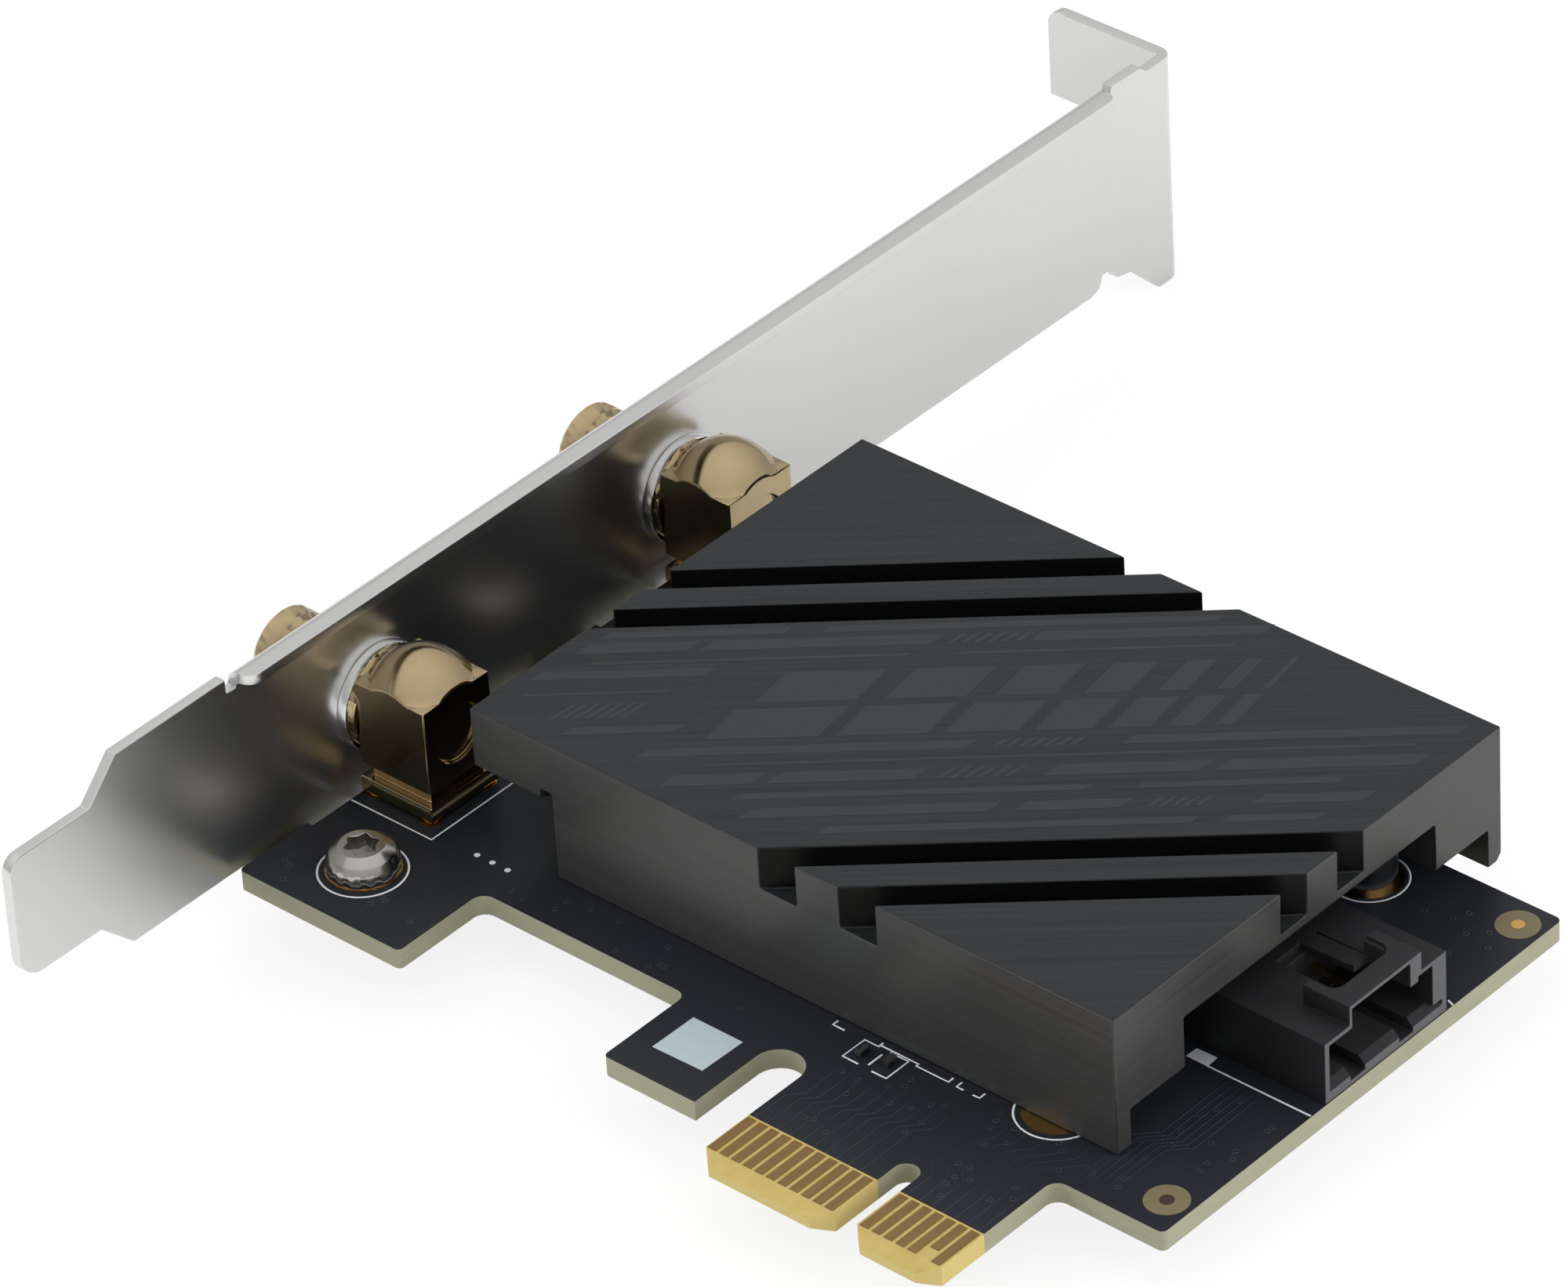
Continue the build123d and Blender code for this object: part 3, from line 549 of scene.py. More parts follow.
class Paints:
    """Builds each finish once and hands it out by name."""

    def __init__(self) -> None:
        """List the finishes."""
        self.recipes: dict[str, Callable[[], bpy.types.Material]] = {
            "mask": SolderMask().build,
            "dark": BrushedDark().build,
            "steel": SatinSteel().build,
            "screw": SatinSteel("screw_steel", (0.37, 0.36, 0.33), (0.46, 0.45, 0.42), 0.2,
                                2600.0).build,
            "stud": SatinSteel("stud_steel", (0.20, 0.20, 0.21), (0.30, 0.30, 0.31), 0.25,
                               2600.0).build,
            "tin": SatinSteel("tinned_sheet", (0.58, 0.58, 0.57), (0.68, 0.68, 0.67), 0.3,
                              800.0).build,
            "brass": Plated("pale_gold", (0.40, 0.31, 0.175), (0.49, 0.39, 0.235), 0.14, 520.0,
                            0.0050).build,
            "nickel": Plated("nickel", (0.85, 0.85, 0.84), (0.91, 0.91, 0.90), 0.10, 300.0,
                             0.0015).build,
            "pad_gold": Plated("pad_gold", (0.62, 0.34, 0.11), (0.78, 0.46, 0.16), 0.25,
                               900.0).build,
            "pin_gold": Plated("pin_gold", (0.75, 0.55, 0.25), (0.82, 0.62, 0.30), 0.18).build,
            "solder": Plated("solder", (0.62, 0.62, 0.62), (0.74, 0.74, 0.74), 0.24, 1400.0,
                             0.03).build,
            "dull_solder": Plated("dull_solder", (0.10, 0.10, 0.10), (0.30, 0.30, 0.30), 0.38,
                                  2600.0, 0.05).build,
            "finger": Finger().build,
            "housing": Housing().build,
            "ceramic": Fired().build,
            "ink": Moulded("white_ink", (0.60, 0.64, 0.65), (0.68, 0.72, 0.73), 0.55, 2200.0,
                           0.01).build,
            "label": Moulded("hatched_ink", (0.33, 0.40, 0.405), (0.40, 0.47, 0.475), 0.6,
                             2200.0).build,
            "print": Moulded("sink_print", (0.0190, 0.0222, 0.0265), (0.0228, 0.0266, 0.031),
                             0.42, 1500.0, 0.004, 0.35).build,
            "trace": Moulded("masked_trace", (0.012, 0.0145, 0.021), (0.016, 0.019, 0.026),
                             0.32, 900.0).build,
            "via": Moulded("masked_via", (0.016, 0.018, 0.024), (0.022, 0.023, 0.028), 0.36,
                           900.0).build,
            "bare": Moulded("bare_laminate", (0.13, 0.105, 0.056), (0.17, 0.138, 0.078), 0.5,
                            900.0).build,
            "core": Moulded("dark_core", (0.030, 0.018, 0.010), (0.045, 0.028, 0.015), 0.45,
                            900.0).build,
            "insulator": Moulded("dielectric", (0.80, 0.79, 0.76), (0.88, 0.87, 0.84), 0.45,
                                 500.0).build,
            "gap": Moulded("gap_pad", (0.30, 0.36, 0.42), (0.36, 0.42, 0.48), 0.8, 700.0,
                           0.04).build,
            "module": Moulded("module_mask", (0.012, 0.05, 0.03), (0.02, 0.07, 0.04), 0.3).build,
            "epoxy": Moulded("epoxy", (0.018, 0.018, 0.018), (0.03, 0.03, 0.03), 0.55, 2400.0,
                             0.02).build,
            "ferrite": Moulded("ferrite", (0.07, 0.07, 0.075), (0.12, 0.12, 0.125), 0.7, 1600.0,
                               0.03).build,
        }
        self.made: dict[str, bpy.types.Material] = {}

    def get(self, name: str) -> bpy.types.Material:
        """One finish.

        Args:
            name: its key.

        Returns:
            The material, built on first use.
        """
        if name not in self.made:
            self.made[name] = self.recipes[name]()
        return self.made[name]


class Bench:
    """Mesh operations that the sub-assemblies share."""

    weld = 0.0005
    level_angle = 0.4
    bevel_angle = 25.0
    smooth_angle = 28.0
    stray_share = 0.6

    def __init__(self, frame: dict[str, Any], paints: Paints) -> None:
        """Keep the frame and the finishes.

        Args:
            paints: the finishes.
        """
        self.nodes: dict[str, bpy.types.Object] = frame["nodes"]
        self.paints = paints

    def box(self, name: str) -> tuple[Vector, Vector]:
        """Box of a CAD node.

        Args:
            name: the node.

        Returns:
            Its low and high corners, in millimetres.
        """
        corners = [vertex.co / MM for vertex in self.nodes[name].data.vertices]
        low, high = ([pick(corner[i] for corner in corners) for i in range(3)] for pick in (min, max))
        return Vector(low), Vector(high)

    def clear(self) -> None:
        """Deselect everything."""
        if bpy.context.object and bpy.context.object.mode != "OBJECT":
            bpy.ops.object.mode_set(mode="OBJECT")
        bpy.ops.object.select_all(action="DESELECT")

    def pick(self, piece: bpy.types.Object) -> None:
        """Select one object and make it active."""
        self.clear()
        piece.select_set(True)
        bpy.context.view_layer.objects.active = piece

    def mark(self, piece: bpy.types.Object, angle: float, test: Callable[[Vector, Vector], bool]) -> None:
        """Give the sharp edges that pass a test a bevel weight.

        Args:
            piece: the object.
            angle: edges sharper than this many degrees.
            test: whether an edge counts, by its two ends in metres.
        """
        self.choose(piece, lambda point: False)
        bpy.ops.mesh.select_mode(type="EDGE")
        bpy.ops.mesh.edges_select_sharp(sharpness=math.radians(angle))
        bpy.ops.object.mode_set(mode="OBJECT")
        corners = piece.data.vertices
        for edge in piece.data.edges:
            first, second = edge.vertices
            edge.select = edge.select and test(corners[first].co, corners[second].co)
        bpy.ops.object.mode_set(mode="EDIT")
        bpy.ops.transform.edge_bevelweight(value=1.0)
        self.clear()

    def choose(self, piece: bpy.types.Object, test: Test) -> None:
        """Open a piece for editing with some of its corners selected.

        Args:
            piece: the object.
            test: whether a corner is selected, by its place in metres.
        """
        self.pick(piece)
        bpy.ops.object.mode_set(mode="EDIT")
        bpy.ops.mesh.select_mode(type="VERT")
        bpy.ops.mesh.select_all(action="DESELECT")
        bpy.ops.object.mode_set(mode="OBJECT")
        for vertex in piece.data.vertices:
            vertex.select = test(vertex.co)
        bpy.ops.object.mode_set(mode="EDIT")

    def coat(self, piece: bpy.types.Object, paint: str) -> None:
        """Give a piece one finish."""
        piece.data.materials.clear()
        piece.data.materials.append(self.paints.get(paint))

    def dress(self, name: str, paint: str) -> None:
        """Give a CAD node one finish on its own slots.

        Args:
            name: the node.
            paint: the finish's key.
        """
        node = self.nodes[name]
        if not node.material_slots:
            node.data.materials.append(self.paints.get(paint))
        for slot in node.material_slots:
            slot.material = self.paints.get(paint)
        log.info("%s dressed as %s", name, paint)

    def dress_all(self, paints: dict[str, str]) -> None:
        """Give each of several CAD nodes its finish."""
        for name, paint in paints.items():
            self.dress(name, paint)

    def seat(self, piece: bpy.types.Object, paint: str, slot: Slot, *replaced: str) -> None:
        """Args:
            piece: the object, in place.
            paint: the finish's key.
            slot: the record's slot; not used.
            replaced: the CAD nodes that it stands for.
        """
        self.coat(piece, paint)
        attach(piece, "root")
        if replaced:
            self.weigh(piece)
            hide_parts(*replaced)
        log.info("%s: %d faces, %s", piece.name, len(piece.data.polygons), paint)

    def twin(self, name: str, edge: float = 0.0) -> bpy.types.Object:
        """Copy a CAD node with merged corners and softened edges.

        Args:
            name: the node.
            edge: width of the edge softening in millimetres, or 0 for none.

        Returns:
            The copy.
        """
        piece = bpy.data.objects.new(f"{name}_finished", self.nodes[name].data.copy())
        bpy.context.scene.collection.objects.link(piece)
        self.pick(piece)
        bpy.ops.object.mode_set(mode="EDIT")
        bpy.ops.mesh.select_all(action="SELECT")
        bpy.ops.mesh.remove_doubles(threshold=self.weld * MM)
        bpy.ops.mesh.dissolve_limited(angle_limit=math.radians(self.level_angle))
        bpy.ops.object.mode_set(mode="OBJECT")
        if edge > 0:
            self.soften(piece, edge)
        self.smooth(piece)
        return piece

    def soften(self, piece: bpy.types.Object, edge: float, segments: int = 2,
               marked: bool = False) -> None:
        """Bevel the sharp edges.

        Args:
            piece: the object.
            edge: width in millimetres.
            segments: faces across.
            marked: whether only edges with a bevel weight are taken.
        """
        guide = bpy.data.objects.new("guide", piece.data.copy())
        bpy.context.scene.collection.objects.link(guide)
        self.pick(piece)
        bevel = piece.modifiers.new("edges", "BEVEL")
        bevel.width = edge * MM
        bevel.segments = segments
        bevel.limit_method = "WEIGHT" if marked else "ANGLE"
        bevel.angle_limit = math.radians(self.bevel_angle)
        bevel.use_clamp_overlap = False
        bevel.miter_outer = "MITER_ARC"
        bpy.ops.object.modifier_apply(modifier="edges")
        self.tuck(piece, guide, self.stray_share * edge)
        bpy.data.objects.remove(guide, do_unlink=True)

    def tuck(self, piece: bpy.types.Object, solid: bpy.types.Object, reach: float) -> None:
        """Lay corners that the bevel threw off the solid back on its faces.

        Args:
            piece: the bevelled copy.
            solid: the same form with its edges sharp.
            reach: how far a corner may lie off it, in millimetres.
        """
        strays = []
        for vertex in piece.data.vertices:
            _, place, _, _ = solid.closest_point_on_mesh(vertex.co)
            if (place - vertex.co).length > reach * MM:
                strays.append(vertex.index)
        if strays:
            piece.vertex_groups.new(name="strays").add(strays, 1.0, "REPLACE")
            wrap = piece.modifiers.new("tuck", "SHRINKWRAP")
            wrap.target = solid
            wrap.wrap_method = "NEAREST_SURFACEPOINT"
            wrap.vertex_group = "strays"
            bpy.ops.object.modifier_apply(modifier="tuck")
            piece.vertex_groups.clear()
        log.info("%s: %d corners tucked in", piece.name, len(strays))

    def smooth(self, piece: bpy.types.Object, angle: float = smooth_angle) -> None:
        """Shade smooth across shallow edges."""
        self.pick(piece)
        bpy.ops.object.shade_smooth_by_angle(angle=math.radians(angle))

    def weigh(self, piece: bpy.types.Object) -> None:
        """Let the large faces lead the shading of the small ones beside them."""
        self.pick(piece)
        even = piece.modifiers.new("even", "WEIGHTED_NORMAL")
        even.keep_sharp = True
        bpy.ops.object.modifier_apply(modifier="even")

    def curve(self, name: str, paths: Sequence[Sequence[Point2]], height: float, closed: bool) -> Any:
        """Curve object lying flat at one height.

        Args:
            name: the object's name.
            paths: outlines or lines in millimetres.
            height: its level in millimetres.
            closed: whether each path joins up.

        Returns:
            The curve object.
        """
        data = bpy.data.curves.new(name, "CURVE")
        for path in paths:
            spline = data.splines.new("POLY")
            spline.points.add(len(path) - 1)
            for point, (x, y) in zip(spline.points, path):
                point.co = (x * MM, y * MM, 0.0, 1.0)
            spline.use_cyclic_u = closed
        piece = bpy.data.objects.new(name, data)
        piece.location = (0.0, 0.0, height * MM)
        bpy.context.scene.collection.objects.link(piece)
        return piece

    def settle(self, piece: bpy.types.Object) -> bpy.types.Object:
        """Make a curve a mesh with its place in its vertices.

        Args:
            piece: the curve object.

        Returns:
            The same object, now a mesh at the origin.
        """
        self.pick(piece)
        bpy.ops.object.convert(target="MESH")
        piece = bpy.context.object
        bpy.ops.object.transform_apply(location=True, rotation=True, scale=True)
        return piece

    def strokes(self, name: str, paths: Sequence[Sequence[Point2]], width: float, height: float,
                rise: float, closed: bool = False) -> bpy.types.Object:
        """Low rounded lines on a flat face.

        Args:
            name: the object's name.
            paths: the lines in millimetres.
            width: their width.
            height: level of the face.
            rise: how far they stand proud.
            closed: whether each path joins up.

        Returns:
            The mesh object.
        """
        piece = self.curve(name, paths, 0.0, closed)
        piece.data.dimensions = "3D"
        piece.data.bevel_depth = width / 2 * MM
        piece.data.bevel_resolution = 1
        piece.data.use_fill_caps = True
        piece = self.settle(piece)
        piece.scale = (1.0, 1.0, 2 * rise / width)
        piece.location = (0.0, 0.0, height * MM)
        bpy.ops.object.transform_apply(location=True, rotation=True, scale=True)
        return piece

    def fields(self, name: str, outlines: Sequence[Sequence[Point2]], height: float,
               rise: float) -> bpy.types.Object:
        """Low flat shapes on a flat face.

        Args:
            name: the object's name.
            outlines: the shapes in millimetres.
            height: level of the face.
            rise: how far they stand proud.

        Returns:
            The mesh object.
        """
        piece = self.curve(name, outlines, height, True)
        piece.data.dimensions = "2D"
        piece.data.fill_mode = "BOTH"
        piece.data.extrude = rise * MM
        return self.settle(piece)


def circle(x: float, y: float, r: float, steps: int = 48) -> list[Point2]:
    """Points round a circle.

    Args:
        x: centre.
        y: centre.
        r: radius.
        steps: number of points.

    Returns:
        The points.
    """
    angles = [math.radians(360.0 * i / steps) for i in range(steps)]
    return [(x + r * math.cos(angle), y + r * math.sin(angle)) for angle in angles]


@dataclass
class BoardPrint:
    """Circuit board with its inked lines, masked traces and vias."""

    bench: Bench
    top: float = field(init=False)
    stroke: float = 0.17
    rise: float = 0.02
    rings_round: tuple[Point3, ...] = ((-50.24, 9.35, 3.11), (3.96, 49.85, 2.75), (3.7, 17.9, 2.93))
    port_front: float = 4.41
    port_back: float = 3.9
    port_left: float = -56.3
    port_right: float = -48.86
    header_lines: tuple[Path, ...] = (
        ((8.2, 27.5), (16.9, 27.5)),
        ((16.4, 42.5), (16.95, 42.3)),
    )
    chip_frames: tuple[Path, ...] = (
        ((-9.85, 13.75), (-11.2, 13.75), (-11.2, 15.95), (-10.0, 15.95), (-10.0, 16.4)),
        ((-9.25, 14.05), (-9.25, 15.45)),
        ((-8.65, 13.7), (-7.4, 13.7), (-7.4, 15.95), (-8.95, 15.95)),
        ((-10.0, 16.14), (-6.7, 16.14), (-6.7, 15.9), (-3.95, 15.9), (-3.95, 16.4)),
        ((-13.9, 16.4), (-13.9, 15.9), (-12.9, 15.9)),
        ((-3.2, 16.4), (-3.2, 15.85), (-2.6, 15.85)),
        ((-1.8, 15.85), (-1.25, 15.85), (-1.25, 16.4)),
    )
    label: Path = ((-21.75, 6.85), (-17.45, 6.95), (-17.35, 10.85), (-21.7, 10.85))
    pin_one: Path = ((6.55, 27.45), (8.36, 27.45), (8.3, 28.56), (6.6, 28.5))
    dot_xs: Point3 = (-45.2, -43.8, -42.4)
    dot_y: float = 15.25
    dot_r: float = 0.22
    marks: tuple[Point2, Point2] = ((15.04, 15.17), (15.02, 51.75))
    mark_r: float = 1.55
    core_r: float = 0.5
    leg_pitch: float = 2.54
    leg_pad: float = 0.95
    pad_rise: float = 0.04
    core_rise: float = 0.01
    core_lift: float = 0.045
    trace_width: float = 0.16
    trace_rise: float = 0.012
    finger_top: float = 5.4
    slab_front: float = 16.4
    via_r: float = 0.2
    via_width: float = 0.14
    via_rise: float = 0.014
    via_fields: tuple[tuple[int, Point2, Point2], ...] = (
        (26, (-11.0, 15.8), (13.2, 16.0)),
        (16, (10.6, 15.8), (17.0, 27.0)),
        (10, (1.5, 7.4), (6.2, 12.5)),
        (10, (-10.5, -1.8), (6.4, 12.8)),
        (12, (-41.0, -18.0), (12.9, 16.0)),
        (10, (-55.5, -43.5), (5.2, 8.0)),
        (10, (8.5, 16.0), (42.5, 53.0)),
    )
    seed: int = 11

    def build(self) -> None:
        """Dress the board and add its print."""
        self.top = self.bench.box("circuit_board")[1].z
        self.bench.dress_all({
            "circuit_board": "mask",
            "edge_contacts_top": "finger",
            "edge_contacts_bottom": "finger",
            "plated_pads": "pad_gold",
        })
        self.rings()
        self.lines()
        self.patches()
        self.targets()
        self.leg_pads()
        self.traces()
        self.vias()

    def rings(self) -> None:
        """Inked circles round the screw and the posts."""
        circles = [circle(*ring) for ring in self.rings_round]
        piece = self.bench.strokes("ink_rings", circles, self.stroke, self.top, self.rise, True)
        self.bench.seat(piece, "ink", Slot.MASK)

    def lines(self) -> None:
        """Inked corner lines at the ports, the chip parts and the header."""
        corners = [((self.port_left, y - self.port_front), (self.port_right, y - self.port_front),
                    (self.port_right, y + self.port_back)) for y in PORT_YS]
        paths = [*corners, *self.header_lines, *self.chip_frames]
        piece = self.bench.strokes("ink_lines", paths, self.stroke, self.top, self.rise)
        self.bench.seat(piece, "ink", Slot.MASK)

    def patches(self) -> None:
        """Filled white patches: the label square, pin-one mark and three dots."""
        piece = self.bench.fields("label_square", [self.label], self.top, self.rise)
        self.bench.seat(piece, "label", Slot.MASK)
        dots = [circle(x, self.dot_y, self.dot_r, steps=16) for x in self.dot_xs]
        piece = self.bench.fields("ink_patches", [self.pin_one, *dots], self.top, self.rise)
        self.bench.seat(piece, "ink", Slot.MASK)

    def targets(self) -> None:
        """Bare laminate discs under the two round targets."""
        discs = [circle(x, y, self.mark_r) for x, y in self.marks]
        piece = self.bench.fields("bare_discs", discs, self.top, self.rise)
        self.bench.seat(piece, "bare", Slot.MASK)

    def leg_pads(self) -> None:
        """Gold rings round the ports' legs, and the dark core of the first target."""
        pads = []
        for y in PORT_YS:
            for side_x in (-self.leg_pitch, self.leg_pitch):
                for side_y in (-self.leg_pitch, self.leg_pitch):
                    pads.append(circle(PORT_X + side_x, y + side_y, self.leg_pad, steps=32))
        piece = self.bench.fields("leg_pads", pads, self.top, self.pad_rise)
        self.bench.seat(piece, "pad_gold", Slot.GOLD)
        core = [circle(*self.marks[0], self.core_r, steps=32)]
        piece = self.bench.fields("target_core", core, self.top + self.core_lift, self.core_rise)
        self.bench.seat(piece, "core", Slot.GOLD)

    def dogleg(self, x: float, start: float, bend: float, step: float, end: float) -> list[Point2]:
        """One trace along Y with a slanted step to one side.

        Args:
            x: where it starts along X.
            start: where it starts along Y.
            bend: where the step begins.
            step: how far it steps, negative towards the bracket.
            end: where it ends along Y.

        Returns:
            The path.
        """
        return [(x, start), (x, bend), (x + step, bend + abs(step)), (x + step, end)]

    def traces(self) -> None:
        """Low masked traces that fan out from the fingers and run to the header."""
        paths: list[list[Point2]] = []
        for i in range(7):
            path = self.dogleg(x=1.5 + i, start=self.finger_top, bend=8.0 + 0.35 * i, step=-0.8, end=12.8)
            (x, y), fan = path[-1], 0.4 * i
            paths.append([*path, (x + fan, y + fan), (x + fan, self.slab_front)])
        for i in range(10):
            paths.append(self.dogleg(x=-11.5 + i, start=self.finger_top, bend=8.4 + 0.25 * i, step=0.9,
                                     end=13.4))
        for i in range(6):
            paths.append(self.dogleg(x=8.9 + 0.55 * i, start=13.4 + 0.3 * i, bend=19.0, step=1.4,
                                     end=27.0))
        for i in range(5):
            x = -30.0 + 0.6 * i
            paths.append([(x, 13.6), (x, 16.3)])
        piece = self.bench.strokes("masked_traces", paths, self.trace_width, self.top, self.trace_rise)
        self.bench.seat(piece, "trace", Slot.MASK)

    def vias(self) -> None:
        """Small masked rings scattered between the traces."""
        rng = random.Random(self.seed)
        rings = []
        for count, across, along in self.via_fields:
            for _ in range(count):
                rings.append(circle(rng.uniform(*across), rng.uniform(*along), self.via_r, steps=10))
        piece = self.bench.strokes("masked_vias", rings, self.via_width, self.top, self.via_rise, True)
        self.bench.seat(piece, "via", Slot.MASK)


@dataclass
class Bracket:
    """Steel bracket and its screws."""

    bench: Bench
    edge: float = 0.10
    screw_edge: float = 0.06

    def build(self) -> None:
        """Finish the sheet and the screws."""
        sheet = self.bench.twin("bracket", self.edge)
        self.bench.seat(sheet, "steel", Slot.BRACKET, "bracket")
        screws = self.bench.twin("bracket_screws", self.screw_edge)
        self.bench.seat(screws, "screw", Slot.SCREW, "bracket_screws")


@dataclass
class Sink:
    """Slab heatsink with its faint print, posts and screws."""

    bench: Bench
    low: Vector = field(init=False)
    high: Vector = field(init=False)
    edge: float = 0.12
    turn: float = math.radians(GROOVE_TURN)
    rise: float = 0.006
    centre: Point2 = (-18.2, 36.7)
    margin: float = 1.1
    block_start: float = -18.5
    block_widths: tuple[float, ...] = (7.6, 6.2, 4.9, 3.8, 2.8, 2.0, 1.3)
    block_gap: float = 1.1
    block_lean: float = 0.62
    block_step: float = 0.8
    notch: float = 0.7

    def build(self) -> None:
        """Finish the slab and add its print."""
        self.low, self.high = self.bench.box("heatsink")
        slab = self.bench.twin("heatsink", self.edge)
        self.bench.seat(slab, "dark", Slot.ANODISED, "heatsink")
        self.bench.dress_all({"heatsink_standoffs": "stud", "heatsink_screws": "screw"})
        self.print_fields()

    def along(self, u: float, v: float) -> Point2:
        """Turn print coordinates into the frame.

        Args:
            u: distance along the grooves.
            v: distance across them.

        Returns:
            X and Y in millimetres.
        """
        x = self.centre[0] + u * math.cos(self.turn) - v * math.sin(self.turn)
        y = self.centre[1] + u * math.sin(self.turn) + v * math.cos(self.turn)
        return x, y

    def bar(self, start: float, end: float, v: float, width: float, lean: float) -> list[Point2]:
        """One bar with slanted ends.

        Args:
            start: where it starts along the grooves.
            end: where it ends.
            v: its lower edge.
            width: its width.
            lean: slant of both ends.

        Returns:
            The outline in the frame.
        """
        corners = [(start, v), (end, v), (end + lean, v + width), (start + lean, v + width)]
        return [self.along(*corner) for corner in corners]

    def span(self, v: float) -> Point2:
        """How far the central land reaches along the grooves.

        Args:
            v: distance across them.

        Returns:
            Its two ends, inside the margin.
        """
        rates = (math.cos(self.turn), math.sin(self.turn))
        starts, ends = [], []
        for place, rate, low, high in zip(self.along(0.0, v), rates, self.low, self.high):
            starts.append((low + self.margin - place) / rate)
            ends.append((high - self.margin - place) / rate)
        return max(starts), min(ends)

    def row(self, v: float, width: float, cuts: Sequence[Point2], lean: float) -> list[list[Point2]]:
        """Bars in one line across the land.

        Args:
            v: its lower edge.
            width: the bars' width.
            cuts: where each bar starts and ends, as shares of the line.
            lean: slant of every end.

        Returns:
            The outlines.
        """
        low, high = self.span(v)
        reach = high - low
        return [self.bar(low + a * reach, low + b * reach, v, width, lean) for a, b in cuts]

    def hatch(self, v: float, width: float, start: float, count: int, step: float) -> list[list[Point2]]:
        """A group of short slanted strokes.

        Args:
            v: its lower edge.
            width: the strokes' length across the line.
            start: share of the line where it begins.
            count: how many strokes.
            step: their spacing.

        Returns:
            The outlines.
        """
        low, high = self.span(v)
        first = low + start * (high - low)
        starts = [first + i * step for i in range(count)]
        return [self.bar(place, place + 0.5 * step, v, width, width) for place in starts]

    def blocks(self, v: float, width: float) -> list[list[Point2]]:
        """The large middle motif: leaning blocks that narrow to the right, in two rows.

        Args:
            v: its lower edge.
            width: its height across the land.

        Returns:
            The outlines.
        """
        shapes: list[list[Point2]] = []
        half = 0.5 * (width - self.notch)
        lean = self.block_lean * half
        upper = v + half + self.notch
        shift = self.block_lean * (half + self.notch)
        u = self.block_start
        for wide in self.block_widths:
            shapes.append(self.bar(u, u + wide, v, half, lean))
            shapes.append(self.bar(u + shift + self.block_step, u + shift + wide, upper, half, lean))
            u += wide + self.block_gap
        return shapes

    def print_fields(self) -> None:
        """Faint bars, hatches and leaning blocks along the grain."""
        shapes = self.row(10.3, 0.7, ((0.02, 0.30), (0.36, 0.97)), 0.5)
        shapes += self.row(8.6, 1.1, ((0.01, 0.17), (0.19, 0.52), (0.66, 0.99)), 0.9)
        shapes += self.hatch(8.6, 1.1, 0.54, 6, 0.9)
        shapes += self.row(7.3, 0.3, ((0.05, 0.48), (0.55, 0.92)), 0.3)
        shapes += self.row(5.7, 0.9, ((0.0, 0.22),), 0.9)
        shapes += self.row(3.9, 0.25, ((0.02, 0.19),), 0.2)
        shapes += self.hatch(1.2, 1.6, 0.03, 7, 0.8)
        shapes += self.row(-0.6, 0.8, ((0.01, 0.14),), 0.8)
        shapes += self.blocks(-1.6, 7.4)
        shapes += self.row(-3.4, 0.9, ((0.04, 0.42), (0.60, 0.985)), 0.9)
        shapes += self.hatch(-3.4, 0.9, 0.45, 7, 0.85)
        shapes += self.row(-4.6, 0.28, ((0.10, 0.95),), 0.2)
        shapes += self.row(-6.7, 1.2, ((0.0, 0.12), (0.14, 0.33), (0.50, 0.70), (0.72, 0.98)), 1.2)
        shapes += self.hatch(-6.7, 1.2, 0.36, 6, 0.9)
        shapes += self.row(-8.4, 0.6, ((0.06, 0.55), (0.62, 0.90)), 0.6)
        shapes += self.row(-10.5, 1.0, ((0.02, 0.40), (0.44, 0.60), (0.80, 0.97)), 1.0)
        shapes += self.hatch(-10.5, 1.0, 0.64, 5, 0.8)
        shapes += self.row(-12.4, 0.7, ((0.10, 0.72), (0.77, 0.93)), 0.7)
        piece = self.bench.fields("sink_print", shapes, self.high.z, self.rise)
        self.bench.seat(piece, "print", Slot.ANODISED)


